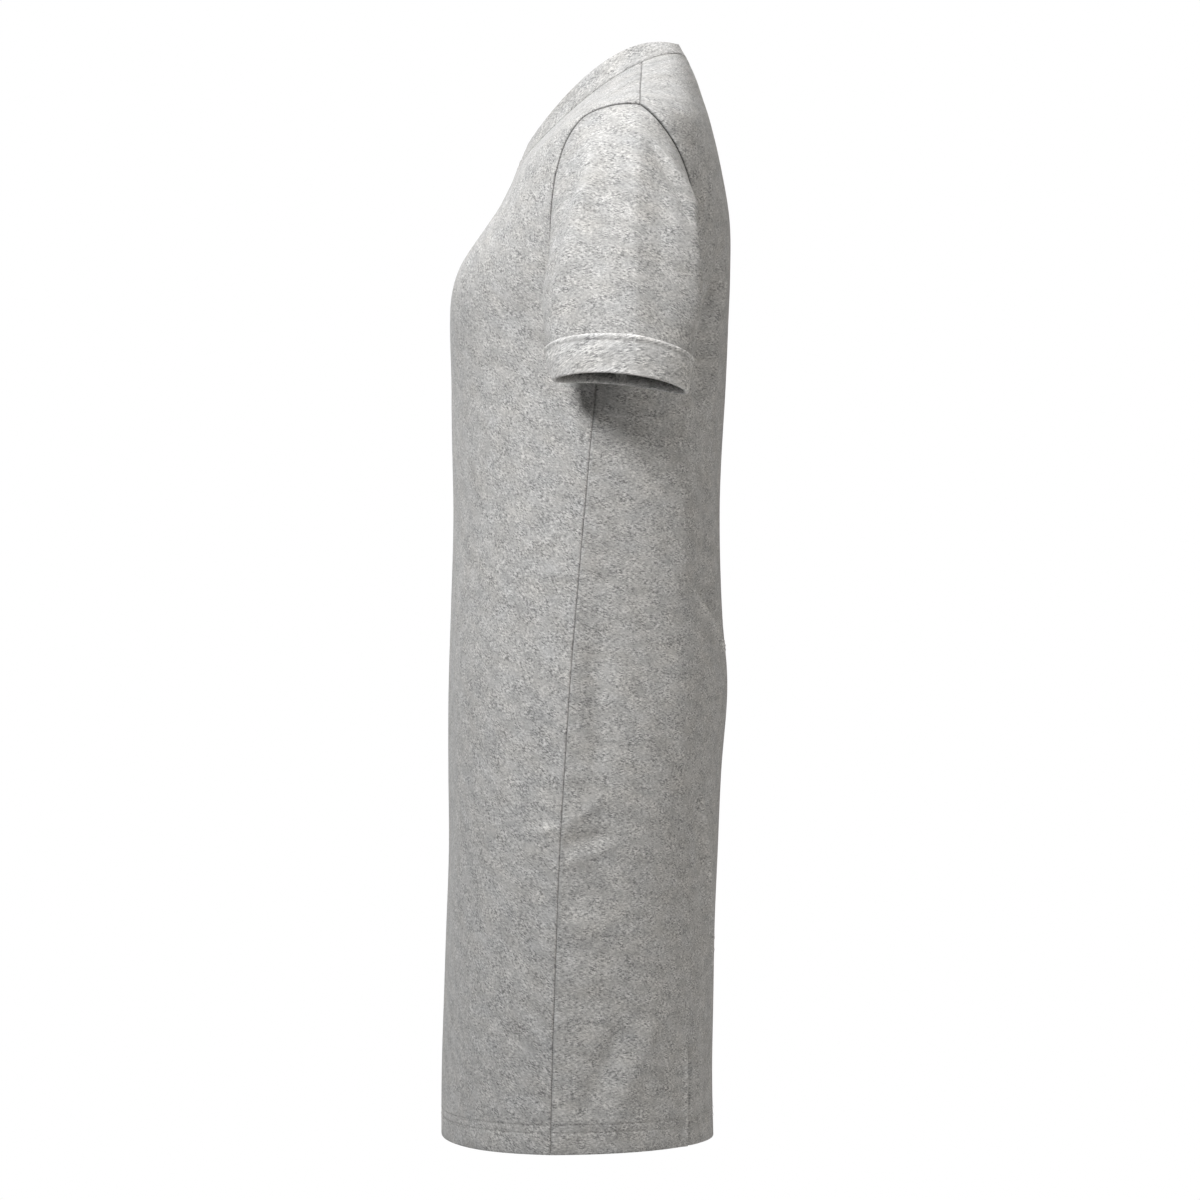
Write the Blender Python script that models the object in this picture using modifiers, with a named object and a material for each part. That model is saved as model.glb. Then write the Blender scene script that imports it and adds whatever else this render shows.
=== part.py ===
"""T-shirt dress: a straight knit dress, filled out as it is worn.

The pieces are the front and back panels, two short set-in sleeves, the turn-back cuff
at the end of each sleeve, and the neckband. Each one is cut flat and carried onto the
body's form, so each starts as a flat grid whose vertices are placed by a function.

Frame: metres, +Z up. The front faces -Y and the wearer's left is +X. The origin is on
the centre plane, level with the middle of the shoulder seams, where the wearer's
shoulders carry the dress.
"""

from collections import namedtuple
from math import cos, pi, radians, sin

import bmesh
import bpy
from mathutils import Vector

NAME = "t_shirt_dress"

# ---------------------------------------------------------------- driving dimensions
WALL = 0.0015            # jersey
HEM_WALL = 0.0025        # jersey turned up on itself at the hem
HEM_DEPTH = 0.026
HEM_RISE = 0.004         # by which the hem's edge is higher at centre front than at the side
BACK_HEM_RISE = 0.001
BAND_WALL = 0.0024       # the neckband is a folded strip
CUFF_WALL = 0.0018
SEAM_GAP = 0.0003        # between neighbouring pieces
SEAM_RIDGE = 0.0015      # over which a sleeve still runs on with the panel it is sewn to
SEAM_LIFT = 0.1          # slope at which it leaves that panel outwards, at the least
SURFACE_STEP = 0.001     # a step for measuring directions on the form
MERGE = 0.00001          # vertices this near are one

# Rings of the body up to the chest. The seam column is the side seam's y.
Level = namedtuple("Level", "height half_width front seam back fullness")
LEVELS = (
    Level(-0.863, 0.206, -0.1655, -0.0735, 0.0600, 0.020),     # hem edge
    Level(-0.790, 0.205, -0.1645, -0.0720, 0.0590, 0.022),
    Level(-0.700, 0.203, -0.1615, -0.0690, 0.0605, 0.024),
    Level(-0.620, 0.201, -0.1590, -0.0660, 0.0640, 0.026),
    Level(-0.560, 0.198, -0.1590, -0.0625, 0.0670, 0.028),
    Level(-0.490, 0.192, -0.1595, -0.0580, 0.0715, 0.030),     # hip
    Level(-0.420, 0.183, -0.1575, -0.0525, 0.0670, 0.030),
    Level(-0.340, 0.174, -0.1555, -0.0455, 0.0650, 0.028),     # waist
    Level(-0.250, 0.170, -0.1570, -0.0375, 0.0695, 0.024),
)

# Rings above the chest, which tip and tighten until the last one is the neckline.
# bow is how much the front half of the ring arches upwards.
Yoke = namedtuple("Yoke", "half_width front_y front_z side_y side_z back_y back_z bow fullness")
YOKES = (
    Yoke(0.173, -0.1575, -0.190, -0.0320, -0.198, 0.0720, -0.194, 0.000, 0.024),    # underarm
    Yoke(0.186, -0.1490, -0.155, -0.0250, -0.150, 0.0738, -0.150, 0.000, 0.030),
    Yoke(0.195, -0.1335, -0.125, -0.0160, -0.100, 0.0731, -0.105, 0.010, 0.032),
    Yoke(0.196, -0.1200, -0.102, -0.0080, -0.055, 0.0659, -0.062, 0.025, 0.032),
    Yoke(0.190, -0.1115, -0.085, -0.0020, -0.0205, 0.0576, -0.027, 0.036, 0.030),   # shoulder point
    Yoke(0.155, -0.1075, -0.075, -0.0015, -0.0060, 0.0506, -0.004, 0.028, 0.020),
    Yoke(0.120, -0.1045, -0.067, -0.0005, 0.0085, 0.0452, 0.012, 0.019, 0.010),
    Yoke(0.088, -0.1015, -0.059, 0.0000, 0.0205, 0.0390, 0.0250, 0.010, 0.000),     # neckline
)
NECK_RIM = Yoke(0.079, -0.0937, -0.0410, -0.0020, 0.0360, 0.0310, 0.0410, 0.0240, 0.000)

HIP = 5                  # ring numbers, counted up from the hem
UNDERARM = len(LEVELS)
SHOULDER = UNDERARM + 4
CHEST_LIFT = 0.6         # rings by which a panel's rows stand higher at its middle
NECKLINE = UNDERARM + len(YOKES) - 1

# The armhole's edge from the underarm to the shoulder point: how far up the rings it
# has come, and how far round from the side it stands to the front and to the back.
Armhole = namedtuple("Armhole", "front_rise front_angle back_rise back_angle")
ARMHOLE = (
    Armhole(0.00, 0.0, 0.00, 0.0),
    Armhole(0.05, 10.0, 0.02, 10.5),
    Armhole(0.17, 16.5, 0.07, 20.0),
    Armhole(0.29, 21.5, 0.16, 28.0),
    Armhole(0.42, 26.0, 0.27, 33.0),
    Armhole(0.56, 29.0, 0.39, 35.0),
    Armhole(0.70, 31.0, 0.52, 33.5),
    Armhole(0.86, 30.5, 0.65, 29.5),
    Armhole(0.98, 25.0, 0.78, 22.0),
    Armhole(1.00, 14.0, 0.89, 12.0),
    Armhole(1.00, 0.0, 1.00, 0.0),
)

# Rings of the left sleeve below the armhole.
Sleeve = namedtuple("Sleeve", "outer_x outer_y outer_z front_y front_z inner_x inner_y inner_z back_y back_z")
SLEEVE = (
    Sleeve(0.2220, -0.008, -0.062, -0.0745, -0.140, 0.1760, -0.030, -0.205, 0.0425, -0.140),
    Sleeve(0.2490, -0.014, -0.135, -0.0797, -0.176, 0.1770, -0.026, -0.216, 0.0468, -0.176),
    Sleeve(0.2615, -0.020, -0.209, -0.0765, -0.219, 0.1770, -0.020, -0.230, 0.0385, -0.227),
    Sleeve(0.2600, -0.020, -0.239, -0.0700, -0.244, 0.1775, -0.020, -0.246, 0.0340, -0.254),
)
LIP = len(SLEEVE)

# Mesh density: segments of the cut pieces.
PANEL_COLUMNS = 22
SEAM_COLUMN = 0.012      # width of a panel's outermost column, as a share of its half
ARMHOLE_ROWS = 14
YOKE_ROWS = 4
HEM_ROWS = 2             # rows of vertices in the turned hem
HEM_STEP = 0.03          # rings above the turned hem where the wall is single again
SLEEVE_COLUMNS = 2 * ARMHOLE_ROWS
SLEEVE_ROWS = 8          # two to each ring interval, so that the cuff's rows lie on them
CUFF_ROWS = 2
BAND_COLUMNS = 40
BAND_ROWS = 2

# ---------------------------------------------------------------- the form of the dress
def level_ring(level):
    """A level ring, written like the tipped rings above it."""
    return Yoke(level.half_width, level.front, level.height, level.seam, level.height,
                level.back, level.height, 0.0, level.fullness)


def curved_hem(ring):
    return ring._replace(front_z=ring.front_z + HEM_RISE, back_z=ring.back_z + BACK_HEM_RISE)


RINGS = [curved_hem(level_ring(LEVELS[0]))] + [level_ring(level) for level in LEVELS[1:]]
RINGS += YOKES


def through(front, side, back, forward):
    """A value round a ring, through those at its front (forward 1), side (0) and back (-1)."""
    return side + (front - back) / 2 * forward + ((front + back) / 2 - side) * forward ** 2


def ring_point(ring, angle):
    """A point of a ring; angle 0 is the centre front and 90 degrees the wearer's left side."""
    fuller = 1 - ring.fullness
    forward = (cos(angle) - ring.fullness * cos(3 * angle)) / fuller
    sideways = (sin(angle) + ring.fullness * sin(3 * angle)) / fuller
    y = through(ring.front_y, ring.side_y, ring.back_y, forward)
    z = through(ring.front_z, ring.side_z, ring.back_z, forward)
    z += ring.bow * (forward - forward ** 3)
    return Vector((ring.half_width * sideways, y, z))


def spline(values, position):
    """The smooth curve through a list of numbers or points, at a fractional place in it."""
    last = len(values) - 1
    index = min(max(int(position), 0), last - 1)
    t = position - index
    start = values[index]
    end = values[index + 1]
    before = values[index - 1] if index > 0 else start * 2 - end
    after = values[index + 2] if index + 2 <= last else end * 2 - start
    leaving = (end - before) / 2
    arriving = (after - start) / 2
    rise = end - start
    return start + leaving * t + (rise * 3 - leaving * 2 - arriving) * t ** 2 \
        + (leaving + arriving - rise * 2) * t ** 3


def body_point(angle, level):
    """A point of the dress's outer face, at an angle and a fractional ring number."""
    return spline([ring_point(ring, angle) for ring in RINGS], level)


def body_normal(angle, level):
    """The outward direction of the dress's face."""
    around = body_point(angle + SURFACE_STEP, level) - body_point(angle - SURFACE_STEP, level)
    upward = body_point(angle, level + SURFACE_STEP) - body_point(angle, level - SURFACE_STEP)
    return around.cross(upward).normalized()


def armhole_mark(share, side):
    """Rise in rings and angle from the side, at a share of the armhole's front or back edge."""
    place = share * (len(ARMHOLE) - 1)
    rise = spline([getattr(mark, side + "_rise") for mark in ARMHOLE], place)
    angle = spline([getattr(mark, side + "_angle") for mark in ARMHOLE], place)
    return UNDERARM + rise * (SHOULDER - UNDERARM), radians(angle)


def armhole_place(across):
    """Ring and angle on the left armhole: 0 underarm, 0.25 front, 0.5 shoulder, 0.75 back."""
    if across <= 0.5:
        level, angle = armhole_mark(2 * across, "front")
        return level, pi / 2 - angle
    level, angle = armhole_mark(2 * (1 - across), "back")
    return level, pi / 2 + angle


def armhole_point(across):
    level, angle = armhole_place(across)
    return body_point(angle, level)


def around_sleeve(outer, front, inner, back, across):
    """A value round the sleeve, through those at its inner, front, outer and back lines."""
    turn = 2 * pi * across
    corner = (inner + outer - front - back) / 4
    return (outer + front + inner + back) / 4 + (inner - outer) / 2 * cos(turn) \
        + (front - back) / 2 * sin(turn) + corner * cos(2 * turn)


def sleeve_ring_point(ring, across):
    middle_x = (ring.outer_x + ring.inner_x) / 2
    middle_y = (ring.outer_y + ring.inner_y) / 2
    x = around_sleeve(ring.outer_x, middle_x, ring.inner_x, middle_x, across)
    y = around_sleeve(ring.outer_y, ring.front_y, ring.inner_y, ring.back_y, across)
    z = around_sleeve(ring.outer_z, ring.front_z, ring.inner_z, ring.back_z, across)
    return Vector((x, y, z))


def armhole_exit(across, towards):
    """The way a sleeve leaves the armhole: towards a point, but always a little outwards."""
    edge = armhole_point(across)
    level, angle = armhole_place(across)
    normal = body_normal(angle, level)
    way = (towards - edge).normalized()
    dip = min(way.dot(normal) - SEAM_LIFT, 0.0)
    return edge, (way - normal * dip).normalized()


def sleeve_point(across, down):
    """A point of the left sleeve's outer face; down is 0 at the armhole and 1 at the lip."""
    rings = [sleeve_ring_point(ring, across) for ring in SLEEVE]
    edge, way = armhole_exit(across, rings[0])
    return spline([edge + way * (SEAM_GAP + SEAM_RIDGE)] + rings, down * LIP)


def sleeve_edge(across):
    """The sleeve's sewn edge, beside the panels' edge."""
    edge, way = armhole_exit(across, sleeve_ring_point(SLEEVE[0], across))
    return edge + way * SEAM_GAP


def cuff_point(across, up):
    """A point of the left cuff's outer face: the sleeve's end, moved out by its own wall."""
    down = 1 - up / LIP
    here = sleeve_point(across, down)
    along = sleeve_point(across + SURFACE_STEP, down) - sleeve_point(across - SURFACE_STEP, down)
    upward = sleeve_point(across, down - SURFACE_STEP) - here
    return here + along.cross(upward).normalized() * (SEAM_GAP + CUFF_WALL)


def neckband_point(across, up):
    """A point of the neckband's outer face, from its seam (up 0) to its rim (up 1)."""
    angle = 2 * pi * across
    seam = ring_point(RINGS[NECKLINE], angle)
    rim = ring_point(NECK_RIM, angle)
    start = seam + (rim - seam).normalized() * SEAM_GAP
    return start.lerp(rim, up)


# ---------------------------------------------------------------- cut pieces
def panel_rows(side):
    """Rows of a panel from hem to neckline: ring at the centre, ring and angle at the edge."""
    hem = HEM_DEPTH / (LEVELS[1].height - LEVELS[0].height)
    skirt = [0, hem, hem + HEM_STEP] + list(range(1, HIP))
    levels = skirt + [HIP + step / 2 for step in range(2 * (UNDERARM - HIP) + 1)]
    rows = [(level, level, 0.0) for level in levels]
    for step in range(1, ARMHOLE_ROWS):
        share = step / ARMHOLE_ROWS
        level, angle = armhole_mark(share, side)
        rows.append((UNDERARM + share * (SHOULDER + CHEST_LIFT - UNDERARM), level, angle))
    for step in range(YOKE_ROWS + 1):
        share = step / YOKE_ROWS
        level = SHOULDER + (NECKLINE - SHOULDER) * share
        rows.append((level + CHEST_LIFT * (1 - share), level, 0.0))
    return rows


def panel_turn(across):
    """How far a column stands from the panel's middle, from -1 to 1, narrow at the seams."""
    column = round(across * PANEL_COLUMNS)
    if column in (0, PANEL_COLUMNS):
        return 2 * across - 1
    even = 2 * (column - 1) / (PANEL_COLUMNS - 2) - 1
    return even * (1 - SEAM_COLUMN)


def panel_point(rows, centre, across, up):
    """A point of a panel whose middle line stands at the angle centre."""
    centre_level, edge_level, edge_angle = rows[round(up * (len(rows) - 1))]
    turn = panel_turn(across)
    level = centre_level + (edge_level - centre_level) * turn ** 2
    if edge_angle == 0.0:
        beside = body_point(pi / 2 - SURFACE_STEP, edge_level) - body_point(pi / 2, edge_level)
        edge_angle = SEAM_GAP / 2 * SURFACE_STEP / beside.length
    return body_point(centre + turn * (pi / 2 - edge_angle), level)


def mirrored(place):
    """The same piece for the wearer's other side."""
    def place_other_side(across, up):
        point = place(1 - across, up)
        return Vector((-point.x, point.y, point.z))
    return place_other_side


def cut_piece(name, columns, rows, place, ring=False):
    """A flat grid carried onto the form by place(across, up), its outer face outwards."""
    grid = bmesh.new()
    bmesh.ops.create_grid(grid, x_segments=columns, y_segments=rows, size=0.5)
    for vertex in grid.verts:
        vertex.co = place(vertex.co.x + 0.5, vertex.co.y + 0.5)
    if ring:
        bmesh.ops.remove_doubles(grid, verts=grid.verts, dist=MERGE)
    mesh = bpy.data.meshes.new(name)
    grid.to_mesh(mesh)
    grid.free()
    mesh.shade_smooth()
    piece = bpy.data.objects.new(name, mesh)
    bpy.data.collections[NAME].objects.link(piece)
    piece.parent = bpy.data.objects[NAME + "_carrier"]
    return piece


def give_wall(piece, thickness):
    """The cloth's thickness, inwards from the outer face."""
    wall = piece.modifiers.new("wall", "SOLIDIFY")
    wall.thickness = thickness
    wall.offset = -1.0
    wall.use_even_offset = True
    wall.use_quality_normals = True
    return wall


def give_cloth(piece, colour, roughness):
    material = bpy.data.materials.new(piece.name + "_cloth")
    material.use_nodes = True
    shader = material.node_tree.nodes["Principled BSDF"]
    shader.inputs["Base Color"].default_value = (*colour, 1.0)
    shader.inputs["Roughness"].default_value = roughness
    shader.inputs["Metallic"].default_value = 0.0
    piece.data.materials.append(material)


HEATHER = (0.42, 0.42, 0.41)
HEATHER_BAND = (0.45, 0.45, 0.44)
MATT = 0.95


def make_panel(name, centre, side):
    rows = panel_rows(side)

    def place(across, up):
        return panel_point(rows, centre, across, up)
    panel = cut_piece(name, PANEL_COLUMNS, len(rows) - 1, place)
    turned_hem = panel.vertex_groups.new(name="turned_hem")
    turned_hem.add(list(range(HEM_ROWS * (PANEL_COLUMNS + 1))), 1.0, "REPLACE")
    wall = give_wall(panel, HEM_WALL)
    wall.vertex_group = turned_hem.name
    wall.thickness_vertex_group = WALL / HEM_WALL
    give_cloth(panel, HEATHER, MATT)


def make_sleeve(name, place):
    sleeve = cut_piece(name, SLEEVE_COLUMNS, SLEEVE_ROWS + 1, place, ring=True)
    give_wall(sleeve, WALL)
    give_cloth(sleeve, HEATHER, MATT)


def make_cuff(name, place):
    cuff = cut_piece(name, SLEEVE_COLUMNS, CUFF_ROWS, place, ring=True)
    give_wall(cuff, CUFF_WALL)
    give_cloth(cuff, HEATHER, MATT)


def make_neckband(name):
    band = cut_piece(name, BAND_COLUMNS, BAND_ROWS, neckband_point, ring=True)
    give_wall(band, BAND_WALL)
    give_cloth(band, HEATHER_BAND, MATT)


def left_sleeve(across, up):
    """The left sleeve from its lip to its sewn edge, which has a narrow row of its own."""
    if up == 1.0:
        return sleeve_edge(across)
    return sleeve_point(across, 1 - round(up * (SLEEVE_ROWS + 1)) / SLEEVE_ROWS)


# ---------------------------------------------------------------- the dress
for leftover in list(bpy.data.objects):
    bpy.data.objects.remove(leftover)

collection = bpy.data.collections.new(NAME)
bpy.context.scene.collection.children.link(collection)
carrier = bpy.data.objects.new(NAME + "_carrier", None)
collection.objects.link(carrier)

make_panel("front", 0.0, "front")
make_panel("back", pi, "back")
make_sleeve("sleeve_left", left_sleeve)
make_sleeve("sleeve_right", mirrored(left_sleeve))
make_cuff("cuff_left", cuff_point)
make_cuff("cuff_right", mirrored(cuff_point))
make_neckband("neckband")
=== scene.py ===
# %% [markdown]
# # A T-shirt dress in heather jersey
# The real dress is sewn from knitted cotton: a front and a back panel, two short sleeves whose
# ends are turned back as cuffs, and a folded neckband. It stands here as it hangs on a wearer,
# with nobody in it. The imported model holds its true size, so each piece of cloth below is
# worked out on the same form, and then gets what the plain model leaves out: rolled seams,
# a turned hem with its stitches, creases, and the heather of the yarn.

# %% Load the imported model
from collections import namedtuple
from math import pi, radians

import bpy
import numpy as np
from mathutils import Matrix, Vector


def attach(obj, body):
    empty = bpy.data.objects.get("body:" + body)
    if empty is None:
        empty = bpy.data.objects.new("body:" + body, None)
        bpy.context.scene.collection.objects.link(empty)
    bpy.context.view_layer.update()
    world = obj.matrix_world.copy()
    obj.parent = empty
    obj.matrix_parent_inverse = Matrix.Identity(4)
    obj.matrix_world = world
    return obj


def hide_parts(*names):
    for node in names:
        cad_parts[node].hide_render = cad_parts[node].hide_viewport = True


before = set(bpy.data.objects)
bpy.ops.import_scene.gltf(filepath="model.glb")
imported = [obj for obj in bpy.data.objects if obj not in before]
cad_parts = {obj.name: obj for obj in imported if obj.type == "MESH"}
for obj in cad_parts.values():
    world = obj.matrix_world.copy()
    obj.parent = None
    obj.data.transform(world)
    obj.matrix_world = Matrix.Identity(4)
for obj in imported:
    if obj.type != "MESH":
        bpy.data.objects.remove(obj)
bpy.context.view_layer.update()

print("nodes:", sorted(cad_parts))

# %% [markdown]
# ## Sizes of the cloth
# All lengths are in metres. Jersey of this weight is about a millimetre thick, and whatever is
# folded double, such as the hem, is twice that and a little air.

# %% Sizes
CLOTH = 0.0010           # one layer of jersey
HEM_DEPTH = 0.026        # cloth turned up inside the hem
HEM_FOLD = 0.00115       # radius of the fold at the hem's edge
CUFF_STANDS = 0.0021     # the cuff's outer face above the sleeve's
CUFF_INSIDE = 0.0019     # the cuff's fold below the sleeve's outer face
CUFF_TURN_IN = 0.008     # how far the fold runs up inside the sleeve
BAND_FOLD = 0.00115      # radius of the fold along the neckband's rim
SEAM_GAP = 0.0001        # between the edges of two pieces sewn together
SEAM_RIDGE = 0.0015      # over which a sleeve runs straight on from the panel it is sewn to
SEAM_LIFT = 0.1          # least slope outwards at which a sleeve leaves its seam
STEP = 0.001             # a small step, for measuring directions on the form
HEM_RISE = 0.004         # by which the hem is higher at the front than at the side
BACK_HEM_RISE = 0.001    # and at the back
HEM_STITCH_ROWS = (0.0176, 0.0242)     # above the hem's edge

# %% [markdown]
# ## The form of the dress
# A garment's form is easiest to hold as rings. Each ring below is a closed curve round the
# body, known by a few numbers: its half width, and where its front, side and back stand. The
# rings up to the chest are level, and those above it tip and tighten until the last one is the
# neckline. A smooth curve through the rings then gives any point of the cloth. A cage under a
# Subdivision Surface could hold the same form, but it would only come near its numbers. These
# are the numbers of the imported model, so the cloth lies exactly where the model says.

# %% Rings of the body
def table(names, rows):
    """A short table with named columns, each held as one array."""
    return namedtuple("Table", names)(*np.array(rows, dtype=float).T)


LEVELS = table("height half_width front seam back fullness", [
    (-0.863, 0.206, -0.1655, -0.0735, 0.0600, 0.020),     # hem edge
    (-0.790, 0.205, -0.1645, -0.0720, 0.0590, 0.022),
    (-0.700, 0.203, -0.1615, -0.0690, 0.0605, 0.024),
    (-0.620, 0.201, -0.1590, -0.0660, 0.0640, 0.026),
    (-0.560, 0.198, -0.1590, -0.0625, 0.0670, 0.028),
    (-0.490, 0.192, -0.1595, -0.0580, 0.0715, 0.030),     # hip
    (-0.420, 0.183, -0.1575, -0.0525, 0.0670, 0.030),
    (-0.340, 0.174, -0.1555, -0.0455, 0.0650, 0.028),     # waist
    (-0.250, 0.170, -0.1570, -0.0375, 0.0695, 0.024),
])
RING_COLUMNS = "half_width front_y front_z side_y side_z back_y back_z bow fullness"
YOKES = table(RING_COLUMNS, [
    (0.173, -0.1575, -0.190, -0.0320, -0.198, 0.0720, -0.194, 0.000, 0.024),    # underarm
    (0.186, -0.1490, -0.155, -0.0250, -0.150, 0.0738, -0.150, 0.000, 0.030),
    (0.195, -0.1335, -0.125, -0.0160, -0.100, 0.0731, -0.105, 0.010, 0.032),
    (0.196, -0.1200, -0.102, -0.0080, -0.055, 0.0659, -0.062, 0.025, 0.032),
    (0.190, -0.1115, -0.085, -0.0020, -0.0205, 0.0576, -0.027, 0.036, 0.030),   # shoulder point
    (0.155, -0.1075, -0.075, -0.0015, -0.0060, 0.0506, -0.004, 0.028, 0.020),
    (0.120, -0.1045, -0.067, -0.0005, 0.0085, 0.0452, 0.012, 0.019, 0.010),
    (0.088, -0.1015, -0.059, 0.0000, 0.0205, 0.0390, 0.0250, 0.010, 0.000),     # neckline
])
NECK_RIM = table(RING_COLUMNS, [
    (0.079, -0.0937, -0.0410, -0.0020, 0.0360, 0.0310, 0.0410, 0.0240, 0.000),
])


def body_rings():
    """The level rings and the tipped ones in one table, with the hem's edge a little curved."""
    front_z, back_z = LEVELS.height.copy(), LEVELS.height.copy()
    front_z[0] += HEM_RISE
    back_z[0] += BACK_HEM_RISE
    level_rings = (LEVELS.half_width, LEVELS.front, front_z, LEVELS.seam, LEVELS.height,
                   LEVELS.back, back_z, np.zeros(len(front_z)), LEVELS.fullness)
    return type(YOKES)(*(np.concatenate(pair) for pair in zip(level_rings, YOKES)))


RINGS = body_rings()
UNDERARM = 9             # ring numbers, counted up from the hem
SHOULDER = 13
NECKLINE = 16
print(len(RINGS.half_width), "rings, the neckline is number", NECKLINE)

# %% [markdown]
# ## Curves through the rings
# These few functions turn the tables into points. They take whole arrays of places at once,
# because a panel has tens of thousands of vertices, and a loop over them would be slow.

# %% Points and directions on the body
def through(front, side, back, forward):
    """A value round a ring, through those at its front (forward 1), side (0) and back (-1)."""
    return side + (front - back) / 2 * forward + ((front + back) / 2 - side) * forward ** 2


def ring_points(rings, angle):
    """Points of every ring at each angle: 0 is the centre front, 90 degrees the wearer's left."""
    ring = type(rings)(*(column[:, None] for column in rings))
    fuller = 1 - ring.fullness
    forward = (np.cos(angle) - ring.fullness * np.cos(3 * angle)) / fuller
    sideways = (np.sin(angle) + ring.fullness * np.sin(3 * angle)) / fuller
    y = through(ring.front_y, ring.side_y, ring.back_y, forward)
    z = through(ring.front_z, ring.side_z, ring.back_z, forward)
    return np.stack((ring.half_width * sideways, y, z + ring.bow * (forward - forward ** 3)), -1)


def spline(values, place):
    """The smooth curve through rows of values, at a fractional row number for each point."""
    before_first, past_last = 2 * values[:1] - values[1:2], 2 * values[-1:] - values[-2:-1]
    padded = np.concatenate((before_first, values, past_last))
    row = np.clip(place.astype(int), 0, len(values) - 2)
    t = place - row
    if values.ndim == 3:
        point = np.arange(len(place))
        before, start, end, after = (padded[row + shift, point] for shift in range(4))
        t = t[:, None]
    else:
        before, start, end, after = (padded[row + shift] for shift in range(4))
    leaving, arriving, rise = (end - before) / 2, (after - start) / 2, end - start
    return start + leaving * t + (rise * 3 - leaving * 2 - arriving) * t ** 2 \
        + (leaving + arriving - rise * 2) * t ** 3


def unit(vectors):
    return vectors / np.linalg.norm(vectors, axis=-1, keepdims=True)


def lengths_along(points, axis):
    """Distances travelled along the rows (axis 1) or the columns (axis 0) of a grid of points."""
    steps = np.linalg.norm(np.diff(points, axis=axis), axis=-1)
    start = np.zeros_like(np.take(steps, [0], axis=axis))
    return np.concatenate((start, np.cumsum(steps, axis=axis)), axis=axis)


def body_points(angle, level):
    """Points of the dress's outer face, for arrays of angles and fractional ring numbers."""
    angle, level = np.broadcast_arrays(np.asarray(angle, float), np.asarray(level, float))
    points = spline(ring_points(RINGS, angle.ravel()), level.ravel())
    return points.reshape(angle.shape + (3,))


def body_normals(angle, level):
    """The outward directions of the dress's face."""
    around = body_points(angle + STEP, level) - body_points(angle - STEP, level)
    upward = body_points(angle, level + STEP) - body_points(angle, level - STEP)
    return unit(np.cross(around, upward))


for ring_name, ring in (("hem", 0), ("chest", UNDERARM), ("neckline", NECKLINE)):
    once_round = body_points(np.linspace(0, 2 * pi, 361), ring)
    print("round the", ring_name + ":", round(float(lengths_along(once_round, 0)[-1]), 3), "m")

# %% [markdown]
# ## The armhole and the sleeve
# The armhole is a curve drawn on the body, and the table says how far up the rings it has come
# and how far round from the side it stands. The sleeve starts from that curve and runs down
# through four rings of its own. A tube pushed into the body would meet it on no clear line, and
# here the panel and the sleeve share one, as they do where they are sewn.

# %% The armhole's edge and the left sleeve
ARMHOLE = table("front_rise front_angle back_rise back_angle", [
    (0.00, 0.0, 0.00, 0.0),
    (0.05, 10.0, 0.02, 10.5),
    (0.17, 16.5, 0.07, 20.0),
    (0.29, 21.5, 0.16, 28.0),
    (0.42, 26.0, 0.27, 33.0),
    (0.56, 29.0, 0.39, 35.0),
    (0.70, 31.0, 0.52, 33.5),
    (0.86, 30.5, 0.65, 29.5),
    (0.98, 25.0, 0.78, 22.0),
    (1.00, 14.0, 0.89, 12.0),
    (1.00, 0.0, 1.00, 0.0),
])
SLEEVE = table("outer_x outer_y outer_z front_y front_z inner_x inner_y inner_z back_y back_z", [
    (0.2220, -0.008, -0.062, -0.0745, -0.140, 0.1760, -0.030, -0.205, 0.0425, -0.140),
    (0.2490, -0.014, -0.135, -0.0797, -0.176, 0.1770, -0.026, -0.216, 0.0468, -0.176),
    (0.2615, -0.020, -0.209, -0.0765, -0.219, 0.1770, -0.020, -0.230, 0.0385, -0.227),
    (0.2600, -0.020, -0.239, -0.0700, -0.244, 0.1775, -0.020, -0.246, 0.0340, -0.254),
])
LIP = 4                  # ring number of the sleeve's end, counted down from the armhole


def armhole_mark(share, side):
    """Ring number and angle from the side, at shares of the armhole's front or back edge."""
    place = np.asarray(share, float) * (len(ARMHOLE.front_rise) - 1)
    rise = spline(getattr(ARMHOLE, side + "_rise"), place)
    angle = spline(getattr(ARMHOLE, side + "_angle"), place)
    return UNDERARM + rise * (SHOULDER - UNDERARM), np.radians(angle)


def armhole_place(across):
    """Ring and angle on the left armhole: 0 underarm, 0.25 front, 0.5 shoulder, 0.75 back."""
    front_level, front_angle = armhole_mark(np.clip(2 * across, -0.1, 1), "front")
    back_level, back_angle = armhole_mark(np.clip(2 * (1 - across), -0.1, 1), "back")
    front = across <= 0.5
    return np.where(front, front_level, back_level), \
        np.where(front, pi / 2 - front_angle, pi / 2 + back_angle)


def around_sleeve(outer, front, inner, back, across):
    """A value round the sleeve, through those at its inner, front, outer and back lines."""
    turn = 2 * pi * across
    corner = (inner + outer - front - back) / 4
    return (outer + front + inner + back) / 4 + (inner - outer) / 2 * np.cos(turn) \
        + (front - back) / 2 * np.sin(turn) + corner * np.cos(2 * turn)


def sleeve_rings(across):
    """Points of the sleeve's four rings at each place round it."""
    ring = type(SLEEVE)(*(column[:, None] for column in SLEEVE))
    middle_x = (ring.outer_x + ring.inner_x) / 2
    x = around_sleeve(ring.outer_x, middle_x, ring.inner_x, middle_x, across)
    y = around_sleeve(ring.outer_y, ring.front_y, ring.inner_y, ring.back_y, across)
    z = around_sleeve(ring.outer_z, ring.front_z, ring.inner_z, ring.back_z, across)
    return np.stack((x, y, z), -1)


def armhole_exit(across):
    """The armhole's edge, and the way a sleeve leaves it: always a little outwards."""
    level, angle = armhole_place(across)
    edge, normal = body_points(angle, level), body_normals(angle, level)
    way = unit(sleeve_rings(across)[0] - edge)
    dip = np.minimum((way * normal).sum(-1, keepdims=True) - SEAM_LIFT, 0)
    return edge, unit(way - normal * dip)


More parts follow.
